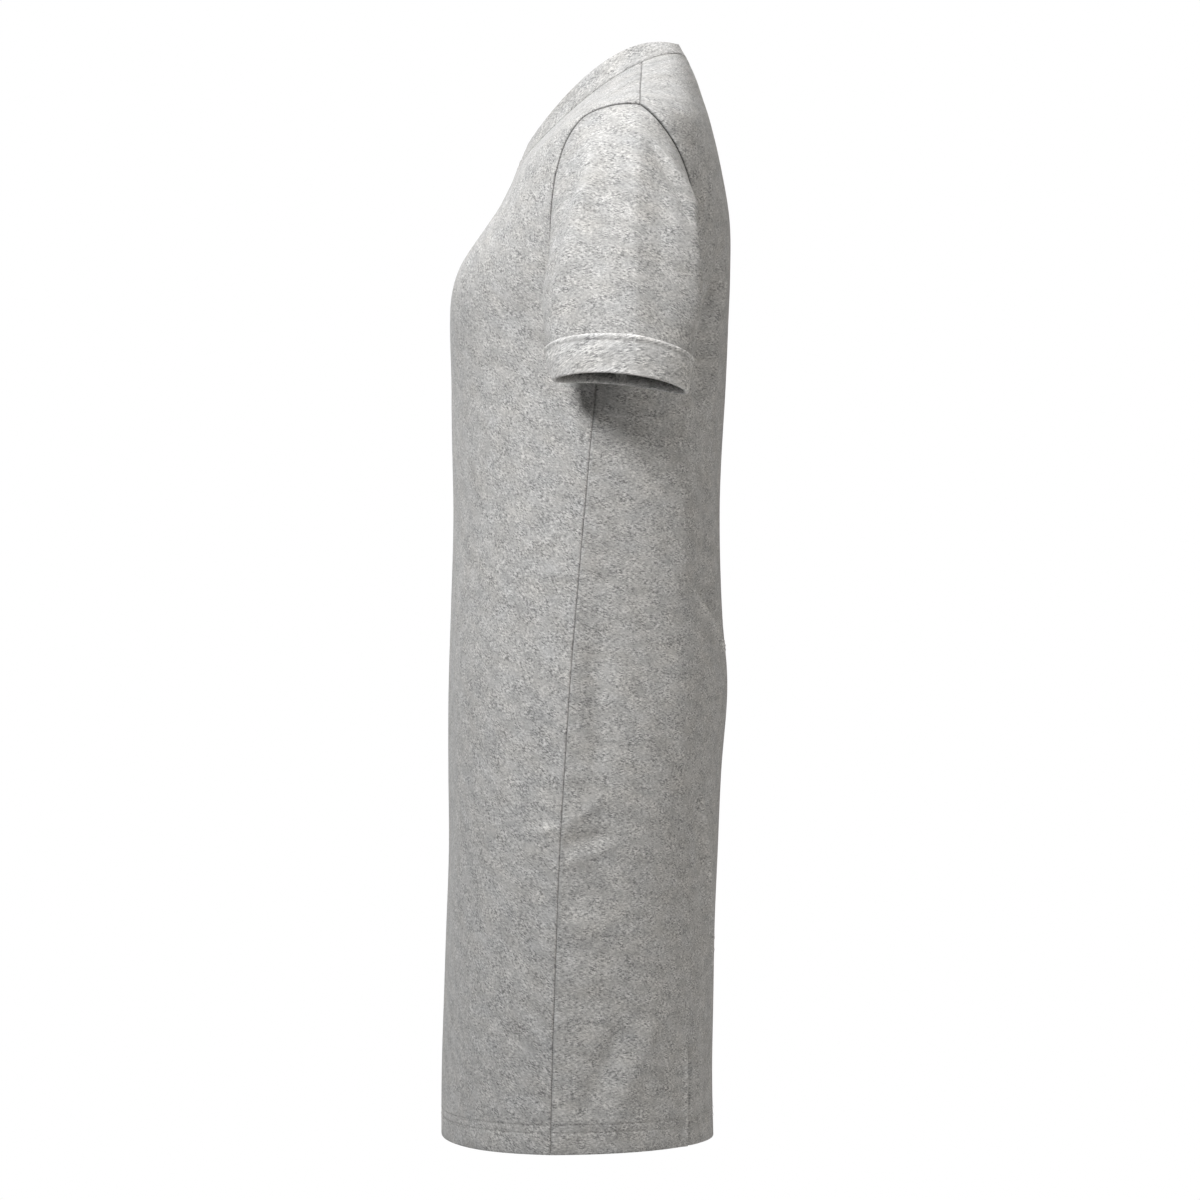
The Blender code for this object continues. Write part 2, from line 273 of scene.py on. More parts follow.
def sleeve_points(across, down):
    """Points of the left sleeve's outer face; down is 0 at the armhole and LIP at the lip."""
    shape = across.shape
    across, down = across.ravel(), down.ravel()
    edge, way = armhole_exit(across)
    rows = np.concatenate(((edge + way * (SEAM_GAP + SEAM_RIDGE))[None], sleeve_rings(across)))
    return spline(rows, down).reshape(shape + (3,))


def sleeve_normals(across, down):
    along = sleeve_points(across + STEP, down) - sleeve_points(across - STEP, down)
    down = np.clip(down, 2 * STEP, None)
    upward = sleeve_points(across, down - STEP) - sleeve_points(across, down + STEP)
    return unit(np.cross(along, upward))


outer_line = sleeve_points(np.full(41, 0.5), np.linspace(0, LIP, 41))
print("down the sleeve:", round(float(lengths_along(outer_line, 0)[-1]), 3), "m")

# %% [markdown]
# ## The camera
# The dress is seen squarely from its left side, from six metres away with a long lens, so that
# it is shown almost without perspective. The camera comes first, because every later step is
# judged through it.

# %% Camera
CAMERA_DISTANCE = 6.0
CAMERA_AIM = (-0.034, -0.419)      # the y and z that the middle of the view looks at
VIEW_SIZE = 0.9948                 # width and height of the view at the centre plane
SENSOR = 36.0                      # millimetres

camera = bpy.data.objects.new("camera", bpy.data.cameras.new("camera"))
bpy.context.scene.collection.objects.link(camera)
camera.data.sensor_width = SENSOR
camera.data.lens = SENSOR * CAMERA_DISTANCE / VIEW_SIZE
camera.location = (CAMERA_DISTANCE, *CAMERA_AIM)
camera.rotation_euler = (radians(90), 0, radians(90))
bpy.context.scene.camera = camera
print("lens:", round(camera.data.lens, 1), "mm")

# %% [markdown]
# ## How a piece of cloth is made
# Each piece starts as Blender's flat grid, like the cloth before it is sewn. Its vertices are
# then carried onto the form, row by row, and a Solidify modifier gives it the jersey's
# thickness. A cloth simulation could drape it instead, but it would lay the folds where it
# likes, and here each one has its place. The UV map keeps each vertex's place on the flat cloth
# in metres, so the knit is printed at its true size however the piece bends.

# %% Cut a piece of cloth
TOUCHING = 0.00001       # places of a closed piece that are nearer than this become one
TO_RIGHT = np.array((-1, 1, 1))      # turns the wearer's left side into the right


def cut_cloth(name, places, flat, closed=False, wall=CLOTH, tone=None):
    """A sheet of cloth: a flat grid, moved to places, with flat as its UV map in metres.
    Its painted shading, light and shade painted into its colour, makes it lighter (above zero) or
    darker at each place."""
    rows, columns = places.shape[:2]
    bpy.ops.object.select_all(action="DESELECT")
    bpy.ops.mesh.primitive_grid_add(x_subdivisions=columns - 1, y_subdivisions=rows - 1)
    piece = bpy.context.object
    piece.name = name
    mesh = piece.data
    mesh.name = name
    mesh.vertices.foreach_set("co", places.astype(np.float32).ravel())
    corner_vertex = np.empty(len(mesh.loops), dtype=np.int32)
    mesh.loops.foreach_get("vertex_index", corner_vertex)
    mesh.uv_layers[0].name = "flat_cloth"
    on_cloth = flat.reshape(-1, 2)[corner_vertex]
    mesh.uv_layers[0].uv.foreach_set("vector", on_cloth.astype(np.float32).ravel())
    if tone is not None:
        painted_shades = mesh.attributes.new("tone", "FLOAT", "POINT")
        painted_shades.data.foreach_set("value", tone.astype(np.float32).ravel())
    if closed:
        bpy.ops.object.mode_set(mode="EDIT")
        bpy.ops.mesh.select_all(action="SELECT")
        bpy.ops.mesh.remove_doubles(threshold=TOUCHING)
        bpy.ops.object.mode_set(mode="OBJECT")
    bpy.ops.object.shade_smooth()
    solid = piece.modifiers.new("jersey", "SOLIDIFY")
    solid.thickness = wall
    solid.offset = -1.0
    solid.use_even_offset = True
    solid.use_quality_normals = True
    bpy.ops.object.modifier_apply(modifier=solid.name)
    print(f"{name}: {rows} rows of {columns}, {len(piece.data.polygons)} faces")
    return piece


def mirrored(places, flat):
    """The same piece for the wearer's right side, still facing outwards."""
    return places[:, ::-1] * TO_RIGHT, flat[:, ::-1]


# %% [markdown]
# ## The flat cloth of the body
# The knit's rows should run round the dress and its ribs up it, whatever way a panel is cut.
# So the body is measured once, like a globe: how far up each place is from the hem, and how
# far round it is from the centre front, both along the cloth.

# %% Flat places on the body
MAP_LEVELS = np.linspace(0, NECKLINE, 129)
MAP_ANGLES = np.linspace(-pi / 2 - 0.1, pi / 2 + 0.1, 121)      # from a panel's own middle
LEAST_SPREAD = 0.3       # of a step along the cloth that counts as going round it


def metres_round(travelled, up):
    """How far round the cloth each place is, from the distance travelled along its row, less
    what the row climbs."""
    step, rise = np.diff(travelled, axis=1), np.diff(up, axis=1)
    spread = np.sqrt(np.maximum(step ** 2 - rise ** 2, (LEAST_SPREAD * step) ** 2))
    return np.concatenate((np.zeros_like(up[:, :1]), np.cumsum(spread, axis=1)), axis=1)


def flat_map(centre):
    """Metres round and up the cloth, for the rings and angles of the map."""
    level, angle = np.meshgrid(MAP_LEVELS, centre + MAP_ANGLES, indexing="ij")
    points = body_points(angle, level)
    up = lengths_along(points, 0)
    around = metres_round(lengths_along(points, 1), up)
    middle = len(MAP_ANGLES) // 2
    return around - around[:, middle:middle + 1], up


def read_map(values, level, angle):
    """The values of a map at any ring and angle, blended between its four nearest entries."""
    last_row, last_column = len(MAP_LEVELS) - 1, len(MAP_ANGLES) - 1
    row = np.clip(level / MAP_LEVELS[-1] * last_row, 0, last_row - 0.001)
    column = (angle - MAP_ANGLES[0]) / (MAP_ANGLES[1] - MAP_ANGLES[0])
    column = np.clip(column, 0, last_column - 0.001)
    i, j = row.astype(int), column.astype(int)
    a, b = row - i, column - j
    return (values[i, j] * (1 - b) + values[i, j + 1] * b) * (1 - a) \
        + (values[i + 1, j] * (1 - b) + values[i + 1, j + 1] * b) * a


def at_share(values, share, wanted):
    """The value in each row of a grid at the place where its share is the wanted one."""
    rows = [np.interp(wanted, shares, along) for shares, along in zip(share, values)]
    return np.array(rows)[:, None]


print("up the centre back:", round(float(flat_map(pi)[1][-1, len(MAP_ANGLES) // 2]), 3), "m")

# %% [markdown]
# ## Seams
# Where two pieces are sewn together, both edges roll inwards over the stitches, which leaves a
# narrow groove with a slight swell on either side. To roll an edge, each vertex needs to know
# how far it is from the seam. A bump in the material would be lighter to make, but it leaves
# the cloth's outline smooth. The thin shadow at the bottom of the groove is finer than the
# mesh, so a darker tone is kept on the vertices there, and the material reads it.

# %% Seam lines and the rolled edge
SEAM_WIDTH = 0.0007      # of the groove
# Painted shadow in each groove: its width, and how much darker each seam's groove is painted
SHADE_WIDTH = 0.0010      # of the shade in it
ARMHOLE_DEPTH, ARMHOLE_SHADE = 0.0019, -0.88      # the armhole's groove is the deepest
SEAM_DEPTH, SEAM_SHADE = 0.0010, -0.15
NECK_DEPTH = 0.0006
SHOULDER_DEPTH = 0.0008
SWELL = 0.00015          # height of the swell beside it
SWELL_AT = 0.0028
SWELL_WIDTH = 0.0018
LINE_POINTS = 160

level, angle = armhole_place(np.linspace(0, 1, LINE_POINTS))
armhole_seam = body_points(angle, level)
side_seam = body_points(pi / 2, np.linspace(0, UNDERARM, LINE_POINTS))
shoulder_seam = body_points(pi / 2, np.linspace(SHOULDER, NECKLINE, LINE_POINTS // 2))
neck_seam = body_points(np.linspace(0, 2 * pi, LINE_POINTS), np.full(LINE_POINTS, NECKLINE))
Seam = namedtuple("Seam", "line depth tone")
SEAMS = (
    Seam(side_seam, SEAM_DEPTH, SEAM_SHADE),
    Seam(shoulder_seam, SHOULDER_DEPTH, SEAM_SHADE),
    Seam(armhole_seam, ARMHOLE_DEPTH, ARMHOLE_SHADE),
    Seam(neck_seam, NECK_DEPTH, SEAM_SHADE),
)


def distance_to(points, line):
    """The distance of each point of a grid from a line of points."""
    points_in_row = points.reshape(-1, 3)
    nearest = np.full(len(points_in_row), np.inf)
    for start, end in zip(line[:-1], line[1:]):
        along = end - start
        from_start = points_in_row - start
        share = np.clip(from_start @ along / (along @ along), 0, 1)
        distance = np.linalg.norm(from_start - share[:, None] * along, axis=1)
        nearest = np.minimum(nearest, distance)
    return nearest.reshape(points.shape[:-1])


def swelling(distance, width):
    """1 at no distance, and softly down to nothing at about twice the width."""
    return np.exp(-(distance / width) ** 2)


def rolled_edge(distance, depth=SEAM_DEPTH):
    """How far cloth stands out at a distance from a seam: down in the groove, up beside it."""
    return SWELL * swelling(distance - SWELL_AT, SWELL_WIDTH) \
        - depth * swelling(distance, SEAM_WIDTH)


def fade(value, start, end):
    """0 before start and 1 after end, with soft ends."""
    t = np.clip((value - start) / (end - start), 0, 1)
    return t * t * (3 - 2 * t)


print("side seam:", round(float(lengths_along(side_seam, 0)[-1]), 3), "m")

# %% [markdown]
# ## Folds
# Jersey hangs in shallow folds. Each is a soft ridge or trough between two places on the cloth,
# in metres: across from the seam or crease that the piece is measured from, and up by height.
# No two are alike in length, width or height, and they fade out at both ends. Sculpting them by
# hand would look as good, but numbers can be changed one at a time and give the same cloth on
# every run.

# %% Soft folds
Fold = namedtuple("Fold", "side from_across from_height to_across to_height bow width lift")
FOLD_END = 0.3           # share of a fold's length over which each end fades
SHARP_FOLD = 0.0040      # up to this width a fold shows as a line
# A sharp fold has a highlight painted on its ridge and shade painted in its trough
CREASE_SHADING = 75         # for each metre that a sharp fold stands out


def folded(across, height, folds):
    """How far the folds lift the cloth at each place on it."""
    lift = np.zeros_like(across)
    for fold in folds:
        start = np.array((fold.from_across, fold.from_height))
        run = np.array((fold.to_across, fold.to_height)) - start
        length = np.hypot(*run)
        along = ((across - start[0]) * run[0] + (height - start[1]) * run[1]) / length ** 2
        off = ((across - start[0]) * run[1] - (height - start[1]) * run[0]) / length
        off = off - fold.bow * 4 * along * (1 - along)
        ends = fade(along, 0, FOLD_END) * fade(1 - along, 0, FOLD_END)
        lift += fold.lift * ends * swelling(off, fold.width)
    return lift


def crease_shading(across, height, folds):
    """The tone of sharp folds: their ridges catch the light and their troughs hold shade."""
    sharp = [fold for fold in folds if fold.width <= SHARP_FOLD]
    return CREASE_SHADING * folded(across, height, sharp)


def unevenness(across, height, reach):
    """The slight waviness of cloth that hangs free."""
    waves = ((31, 9, 0.3), (-17, 23, 1.9), (52, -14, 4.1), (11, 47, 2.6), (-38, -29, 5.2))
    total = sum(np.sin(across * a + height * b + c) for a, b, c in waves)
    return total * reach / len(waves)


# %% [markdown]
# ## Front and back
# A panel's rows run from the hem to the neckline. The lowest ones are the cloth that is turned
# up inside, then come the fold at the hem's edge and the outer face. At the armhole the rows
# end on its curve, and above it on the shoulder seam. Columns stand close together beside the
# seams, where the edge rolls, and where a panel has narrow folds, and wider in between. A tube
# cut by a Boolean would end in ragged edges, and here every edge is a row or a column.

# %% Rows and columns of a panel
PANEL_COLUMNS = 128
COLUMN_PLACES = 801      # fine places across a panel, from which its columns are picked
CLOSER_AT = {"front": (0.80, 0.15), "back": (0.45, 0.13)}     # where columns stand closer
CLOSER = 1.4             # by how much
SEAM_COLUMNS = np.array((0, 0.35, 0.7, 1.05, 1.5, 2.1, 2.9, 3.9, 5.2)) / 1000
NEXT_COLUMN = 0.002      # beyond the last column beside a seam
CHEST_LIFT = 0.6         # rings by which rows stand higher at a panel's middle than at its edge
LEVEL_LENGTH = LEVELS.height[1] - LEVELS.height[0]
HEM_ZONE = 0.030         # above the hem's edge, where rows are close enough for its stitches
ROWS_TURNED, ROWS_FOLD, ROWS_HEM, ROWS_SKIRT, ROWS_ARMHOLE, ROWS_YOKE = 6, 9, 46, 165, 70, 24
NECK_ROWS = np.array((0.75, 0.55, 0.4, 0.28, 0.19, 0.13, 0.085, 0.05, 0.025, 0))


def fold_path(radius, count):
    """Distance above the fold's edge and depth below the outer face, from inside to outside."""
    turn = np.linspace(pi, 0, count)
    return radius - radius * np.sin(turn), radius - radius * np.cos(turn)


def panel_rows(side):
    """Ring number at the middle and at the edge, the edge's angle, and depth, row by row."""
    fold_up, fold_depth = fold_path(HEM_FOLD, ROWS_FOLD)
    turned_up = np.linspace(HEM_DEPTH, HEM_FOLD, ROWS_TURNED, endpoint=False)
    hem_up = np.linspace(HEM_FOLD, HEM_ZONE, ROWS_HEM)[1:]
    skirt = np.linspace(HEM_ZONE / LEVEL_LENGTH, UNDERARM, ROWS_SKIRT)[1:]
    level = np.concatenate((np.concatenate((turned_up, fold_up, hem_up)) / LEVEL_LENGTH, skirt))
    depth = np.concatenate((np.full(ROWS_TURNED, 2 * HEM_FOLD), fold_depth))
    share = np.arange(1, ROWS_ARMHOLE) / ROWS_ARMHOLE
    edge, angle = armhole_mark(share, side)
    yoke = np.linspace(SHOULDER, NECKLINE - 1, ROWS_YOKE)
    yoke = np.concatenate((yoke, NECKLINE - NECK_ROWS))
    above = (yoke - SHOULDER) / (NECKLINE - SHOULDER)
    middle = np.concatenate((level, UNDERARM + share * (SHOULDER + CHEST_LIFT - UNDERARM),
                             yoke + CHEST_LIFT * (1 - above)))
    edges = np.concatenate((level, edge, yoke))
    angles = np.concatenate((np.zeros_like(level), angle, np.zeros_like(yoke)))
    depths = np.concatenate((depth, np.zeros(len(edges) - len(depth))))
    return middle, edges, angles, depths


def panel_columns(side):
    """Places from -1 to 1 across a panel, closer together where its narrow folds are."""
    even = np.linspace(-1, 1, COLUMN_PLACES)
    place, reach = CLOSER_AT[side]
    density = 1 + CLOSER * swelling(np.abs(even) - place, reach)
    count = np.concatenate(([0], np.cumsum((density[1:] + density[:-1]) / 2)))
    return np.interp(np.linspace(0, count[-1], PANEL_COLUMNS), count, even)


# %% [markdown]
# The rows and columns are then laid on the body. The columns beside a seam keep their distance
# from it in metres all the way up, so the rolled edge has the same width everywhere, and the
# others share what lies between.

# %% A panel on the body
def panel_form(centre, side):
    """Share across, angle, ring number and depth at each vertex of a panel."""
    middle, edge, edge_angle, depth = panel_rows(side)
    beside = body_points(pi / 2 - STEP, edge) - body_points(pi / 2, edge)
    plain = SEAM_GAP / 2 * STEP / np.linalg.norm(beside, axis=-1)
    half_turn = pi / 2 - np.where(edge_angle == 0, plain, edge_angle)
    outward = 1 if side == "front" else -1
    rim = pi / 2 - outward * np.where(edge_angle == 0, 0, edge_angle)
    speed = np.linalg.norm(body_points(rim + STEP, edge) - body_points(rim, edge), axis=-1) / STEP
    speed = (speed * half_turn)[:, None]
    inner = panel_columns(side) * (1 - (SEAM_COLUMNS[-1] + NEXT_COLUMN) / speed)
    near = 1 - SEAM_COLUMNS / speed
    turn = np.concatenate((-near, inner, near[:, ::-1]), axis=1)
    angle = centre + turn * half_turn[:, None]
    level = middle[:, None] + (edge - middle)[:, None] * turn ** 2
    return turn, angle, level, depth


print("rows of a panel:", len(panel_rows("front")[0]))

# %% [markdown]
# The folds of both panels are measured from the side seam, to the front (above zero) or to the
# back (below zero). The left side has the waist's fold, those behind the arm, the short wrinkles
# by which the side seam is drawn up, and the folds of the skirt down to the hem. The right side
# has like ones in other places.

# %% Folds of the panels
BODY_FOLDS = [
    Fold("left", -0.1015, -0.406, -0.226, -0.4685, -0.003, 0.0035, 0.0042),     # back waist
    Fold("left", -0.102, -0.383, -0.2575, -0.4585, -0.007, 0.0090, -0.0092),
    Fold("left", -0.0815, -0.269, -0.1035, -0.426, 0.000, 0.0140, 0.0016),
    Fold("left", -0.120, -0.271, -0.145, -0.406, 0.000, 0.0110, -0.0020),
    Fold("left", -0.058, -0.125, -0.104, -0.290, 0.022, 0.0120, -0.0085),     # behind the arm
    Fold("left", -0.080, -0.125, -0.132, -0.280, 0.022, 0.0080, 0.0036),
    Fold("left", -0.0365, -0.0625, -0.0065, -0.1265, -0.004, 0.0036, 0.0014),
    Fold("left", -0.049, -0.059, -0.0165, -0.126, -0.002, 0.0036, -0.0014),
    Fold("left", -0.013, -0.425, -0.0285, -0.580, 0.002, 0.0100, -0.0052),     # beside the seam
    Fold("left", 0.0025, -0.6035, -0.038, -0.575, 0.000, 0.0045, 0.0025),
    Fold("left", 0.004, -0.6165, -0.041, -0.605, 0.000, 0.0055, -0.0038),
    Fold("left", 0.0055, -0.637, -0.0525, -0.609, 0.000, 0.0045, 0.0022),
    Fold("left", 0.005, -0.6575, -0.0465, -0.6575, 0.000, 0.0080, -0.0027),
    Fold("left", 0.004, -0.6835, -0.046, -0.6835, 0.000, 0.0060, 0.0023),
    Fold("left", 0.0035, -0.7075, -0.034, -0.699, 0.000, 0.0060, -0.0013),
    Fold("left", 0.0025, -0.725, -0.050, -0.725, 0.000, 0.0060, 0.0014),
    Fold("left", 0.002, -0.7505, -0.0545, -0.7425, 0.000, 0.0070, -0.0009),
    Fold("left", -0.063, -0.751, -0.0185, -0.844, 0.001, 0.0090, -0.0041),     # back of the skirt
    Fold("left", -0.0995, -0.742, -0.044, -0.851, -0.001, 0.0110, 0.0033),
    Fold("left", -0.091, -0.447, -0.1325, -0.5925, 0.000, 0.0140, 0.0014),
    Fold("left", -0.129, -0.542, -0.245, -0.7435, -0.002, 0.0034, 0.0034),
    Fold("left", -0.120, -0.5425, -0.197, -0.738, 0.003, 0.0060, -0.0021),
    Fold("left", -0.1415, -0.765, -0.1435, -0.895, 0.000, 0.0036, 0.0024),     # up from the hem
    Fold("left", -0.1480, -0.768, -0.1500, -0.900, 0.000, 0.0034, -0.0062),
    Fold("left", -0.169, -0.7825, -0.1715, -0.869, 0.000, 0.0050, 0.0017),
    Fold("left", 0.0215, -0.6055, 0.000, -0.601, 0.000, 0.0028, 0.0029),     # front
    Fold("left", 0.064, -0.470, 0.046, -0.800, 0.010, 0.0240, -0.0016),
    Fold("left", 0.130, -0.360, 0.142, -0.760, 0.010, 0.0260, 0.0018),
    Fold("right", -0.108, -0.398, -0.184, -0.452, -0.004, 0.0032, 0.0015),
    Fold("right", -0.120, -0.388, -0.200, -0.446, -0.006, 0.0090, -0.0030),
    Fold("right", -0.079, -0.118, -0.124, -0.250, 0.018, 0.0120, -0.0045),
    Fold("right", -0.043, -0.064, -0.020, -0.126, -0.007, 0.0045, -0.0016),
    Fold("right", -0.002, -0.560, -0.036, -0.547, 0.001, 0.0046, -0.0020),
    Fold("right", 0.001, -0.581, -0.048, -0.562, -0.003, 0.0034, 0.0012),
    Fold("right", 0.001, -0.650, -0.040, -0.646, 0.002, 0.0055, -0.0012),
    Fold("right", -0.070, -0.700, -0.036, -0.836, 0.003, 0.0110, 0.0020),
    Fold("right", -0.040, -0.720, -0.018, -0.820, 0.003, 0.0085, -0.0020),
    Fold("right", -0.132, -0.560, -0.205, -0.770, 0.003, 0.0040, 0.0016),
    Fold("right", -0.150, -0.775, -0.148, -0.874, 0.001, 0.0045, 0.0015),
    Fold("right", -0.158, -0.790, -0.157, -0.878, 0.001, 0.0040, -0.0020),
    Fold("right", 0.070, -0.440, 0.052, -0.780, 0.010, 0.0260, -0.0015),
    Fold("right", 0.136, -0.400, 0.128, -0.790, 0.010, 0.0240, 0.0018),
]
print(len(BODY_FOLDS), "folds on the panels")

# %% [markdown]
# The side seam is where the dress was pressed flat, so the cloth comes to a slight edge along
# it, from below the arm to the hem. The chest is a little fuller on either side of the middle,
# and the stitches of the hem pull the cloth in along two lines.

# %% Front and back panels
PRESSED_EDGE = 0.0090    # height of the edge along the side seam
PRESSED_REACH = 0.030
PRESSED_BELOW = (0.21, 0.30)     # depths below the shoulder over which it begins
BUST = (0.082, -0.158)   # x and z of its fullest place
BUST_SPREAD = (0.046, 0.046)
BUST_LIFT = 0.009
WAVE = 0.0007            # height of the unevenness
WAVE_BESIDE = 0.03       # distance from a seam at which it has its full height
STITCH_DENT = 0.0006     # by which the hem's stitches pull the cloth in
DENT_WIDTH = 0.0009
# Shade painted just above the hem's edge, where the hem rolls under
HEM_SHADE = -0.14         # where the hem rolls under
HEM_SHADE_WIDTH = 0.005


def panel_seams(base):
    """The lift and painted groove shadow that the seams give a panel, and the distance from the
    nearest one.
    """
    seams = [(seam, distance_to(base, seam.line * flip))
             for seam in SEAMS for flip in (1, TO_RIGHT)]
    edges = np.stack([rolled_edge(distance, seam.depth) for seam, distance in seams])
    painted_shades = [seam.tone * swelling(distance, SHADE_WIDTH) for seam, distance in seams]
    nearest = np.minimum.reduce([distance for seam, distance in seams])
    lift = np.where(edges.min(0) < 0, edges.min(0), edges.max(0))
    return lift, np.minimum.reduce(painted_shades), nearest


def panel_folds(side, turn, travelled, height):
    """The lift of a panel's pressed edges and its folds, and the light and shade painted on its
    sharp folds.
    """
    from_side = np.where(turn > 0, travelled[:, -1:] - travelled, travelled)
    from_side = from_side * (1 if side == "front" else -1)
    lift = PRESSED_EDGE * np.exp(-np.abs(from_side) / PRESSED_REACH)
    lift = lift * fade(-height, *PRESSED_BELOW)
    tone = np.zeros_like(lift)
    left = (turn > 0) == (side == "front")
    for wearers_side, mask in (("left", left), ("right", ~left)):
        folds = [fold for fold in BODY_FOLDS if fold.side == wearers_side]
        lift += mask * folded(from_side, height, folds)
        tone += mask * crease_shading(from_side, height, folds)
    return lift, tone


def panel_cloth(name, centre, side):
    turn, angle, level, depth = panel_form(centre, side)
    base, normal = body_points(angle, level), body_normals(angle, level)
    travelled, height = lengths_along(base, 1), base[..., 2]
    facing_out = np.clip(1 - depth / HEM_FOLD, 0, 1)[:, None]
    seam_lift, seam_shade, from_seam = panel_seams(base)
    fold_lift, fold_shading = panel_folds(side, turn, travelled, height)
    lift = seam_lift * facing_out + fold_lift
    if side == "front":
        from_bust = ((np.abs(base[..., 0]) - BUST[0]) / BUST_SPREAD[0],
                     (height - BUST[1]) / BUST_SPREAD[1])
        lift += BUST_LIFT * swelling(np.hypot(*from_bust), 1)
    across = travelled - at_share(travelled, turn, 0)
    lift += unevenness(across + centre, height, WAVE) * fade(from_seam, 0, WAVE_BESIDE)
    above_hem = level * LEVEL_LENGTH
    for row in HEM_STITCH_ROWS:
        lift -= STITCH_DENT * facing_out * swelling(above_hem - row, DENT_WIDTH)
    # Painted shadow in the seams and where the hem rolls under, and painted light and shade on
    # sharp folds
    tone = seam_shade + fold_shading + HEM_SHADE * facing_out * swelling(above_hem, HEM_SHADE_WIDTH)
    places = base + normal * (lift - depth[:, None])[..., None]
    around_map, up_map = flat_map(centre)
    turned_up = (depth > HEM_FOLD)[:, None]
    up_body = read_map(up_map, level, angle - centre) * np.where(turned_up, -1, 1)
    flat = np.stack((read_map(around_map, level, angle - centre), up_body), -1)
    return cut_cloth(name, places, flat, tone=tone)


front = panel_cloth("front_panel", 0.0, "front")
back = panel_cloth("back_panel", pi, "back")

# %% [markdown]
# ## Sleeves
# A set-in sleeve is one piece whose two long edges meet under the arm. It was pressed flat
# before it was worn, which left a crease along its outer line, and beside the crease the cloth
# still lies in flat planes. Its end is a little wider on the outer side. Each of these is a
# lift of the cloth, worked out from where the crease runs, so both sleeves and both cuffs can
# share them, and each sleeve has folds of its own on top.

# %% Crease, planes and folds of the sleeves
CREASE = 0.0082          # height of the pressed crease
CREASE_REACH = 0.022
CREASE_BELOW = (0.002, 0.05)     # distances from the armhole over which it begins
Plane = namedtuple("Plane", "off_crease width lift")
SLEEVE_PLANES = (Plane(0.046, 0.015, 0.0036), Plane(-0.020, 0.012, -0.0024),
                 Plane(-0.060, 0.012, 0.0034))
PLANES_ABOVE = (0.010, 0.080)    # distances from the lip over which they begin
SLEEVE_FLARE = 0.0095    # by which the lip stands out on the outer side
FLARE_REACH = 0.048
CREASE_UP = (0.0, 0.055, 0.085, 0.125, 0.195)         # the crease's path: up from the lip,
CREASE_ACROSS = (-0.0140, -0.0120, -0.0085, -0.0052, -0.0049)     # and across from the outer line
SLEEVE_FOLDS = [
    Fold("left", 0.026, 0.205, 0.064, 0.015, 0.001, 0.0105, 0.0050),
    Fold("left", 0.045, 0.207, 0.099, 0.104, 0.005, 0.0026, 0.0011),
    Fold("left", 0.0035, 0.2065, -0.0655, 0.121, 0.002, 0.0050, -0.0022),
    Fold("left", -0.002, 0.203, -0.0955, 0.1285, 0.000, 0.0040, 0.0016),
    Fold("right", 0.027, 0.200, 0.062, 0.022, 0.001, 0.0110, 0.0046),
    Fold("right", 0.046, 0.202, 0.094, 0.112, 0.005, 0.0028, 0.0010),
    Fold("right", 0.002, 0.204, -0.062, 0.116, 0.002, 0.0055, -0.0020),
    Fold("right", -0.004, 0.203, -0.090, 0.122, 0.000, 0.0042, 0.0015),
]


def crease_and_flare(across, up, normal):
    """How far a sleeve's cloth or its cuff's is lifted by the crease and the flare."""
    off = across - np.interp(up, CREASE_UP, CREASE_ACROSS)
    outer = np.clip(normal[..., 0], 0, 1) ** 2
    lift = CREASE * np.exp(-np.abs(off) / CREASE_REACH)
    lift += SLEEVE_FLARE * outer * np.exp(-up / FLARE_REACH)
    for plane in SLEEVE_PLANES:
        shape = swelling(off - plane.off_crease, plane.width)
        lift += plane.lift * fade(up, *PLANES_ABOVE) * shape
    return lift


print(len(SLEEVE_FOLDS), "folds on the sleeves")

# %% [markdown]
# The sleeve's rows start in the armhole's seam, where they are close together for the rolled
# edge, and end inside the cuff, just above the lip. Its columns start and end at the underarm
# seam. The right sleeve is the left one mirrored, with its own folds.

# %% Sleeves
SLEEVE_COLUMNS = 110
SLEEVE_ROWS = 72
SLEEVE_GIRTH = 0.36      # about what a sleeve measures round
NEXT_SHARE = 0.006       # of the way round, beyond the last column beside the underarm seam
EDGE_ROWS = np.array((0.15, 0.5, 0.85, 1.2, 1.5)) / 1000            # metres from the armhole
FIRST_ROWS = np.array((0, 0.007, 0.015, 0.025, 0.04, 0.06, 0.085))     # in ring numbers
NEXT_ROW = 0.04          # beyond the last of them
CUFF_LENGTH = 0.03       # about how far the lip stands below the ring above it
SLEEVE_END = 0.0030      # above the lip, where the sleeve's own edge ends inside the cuff


def sleeve_form():
    """The left sleeve before its folds: shares round it, places and outward directions."""
    near = (SEAM_COLUMNS + SEAM_GAP / 2) / SLEEVE_GIRTH
    first = near[-1] + NEXT_SHARE
    across = np.concatenate((near, np.linspace(first, 1 - first, SLEEVE_COLUMNS), 1 - near[::-1]))
    last = LIP - SLEEVE_END / CUFF_LENGTH
    evenly = np.linspace(FIRST_ROWS[-1] + NEXT_ROW, LIP, SLEEVE_ROWS)
    down = np.concatenate((FIRST_ROWS, evenly[evenly < last], [last]))
    share, down = np.meshgrid(across, down)
    base, normal = sleeve_points(share, down), sleeve_normals(share, down)
    edge, way = armhole_exit(across)
    base = np.concatenate((edge + way * EDGE_ROWS[:, None, None], base))
    normal = np.concatenate((np.repeat(normal[:1], len(EDGE_ROWS), 0), normal))
    return np.repeat(across[None], len(base), 0), base, normal


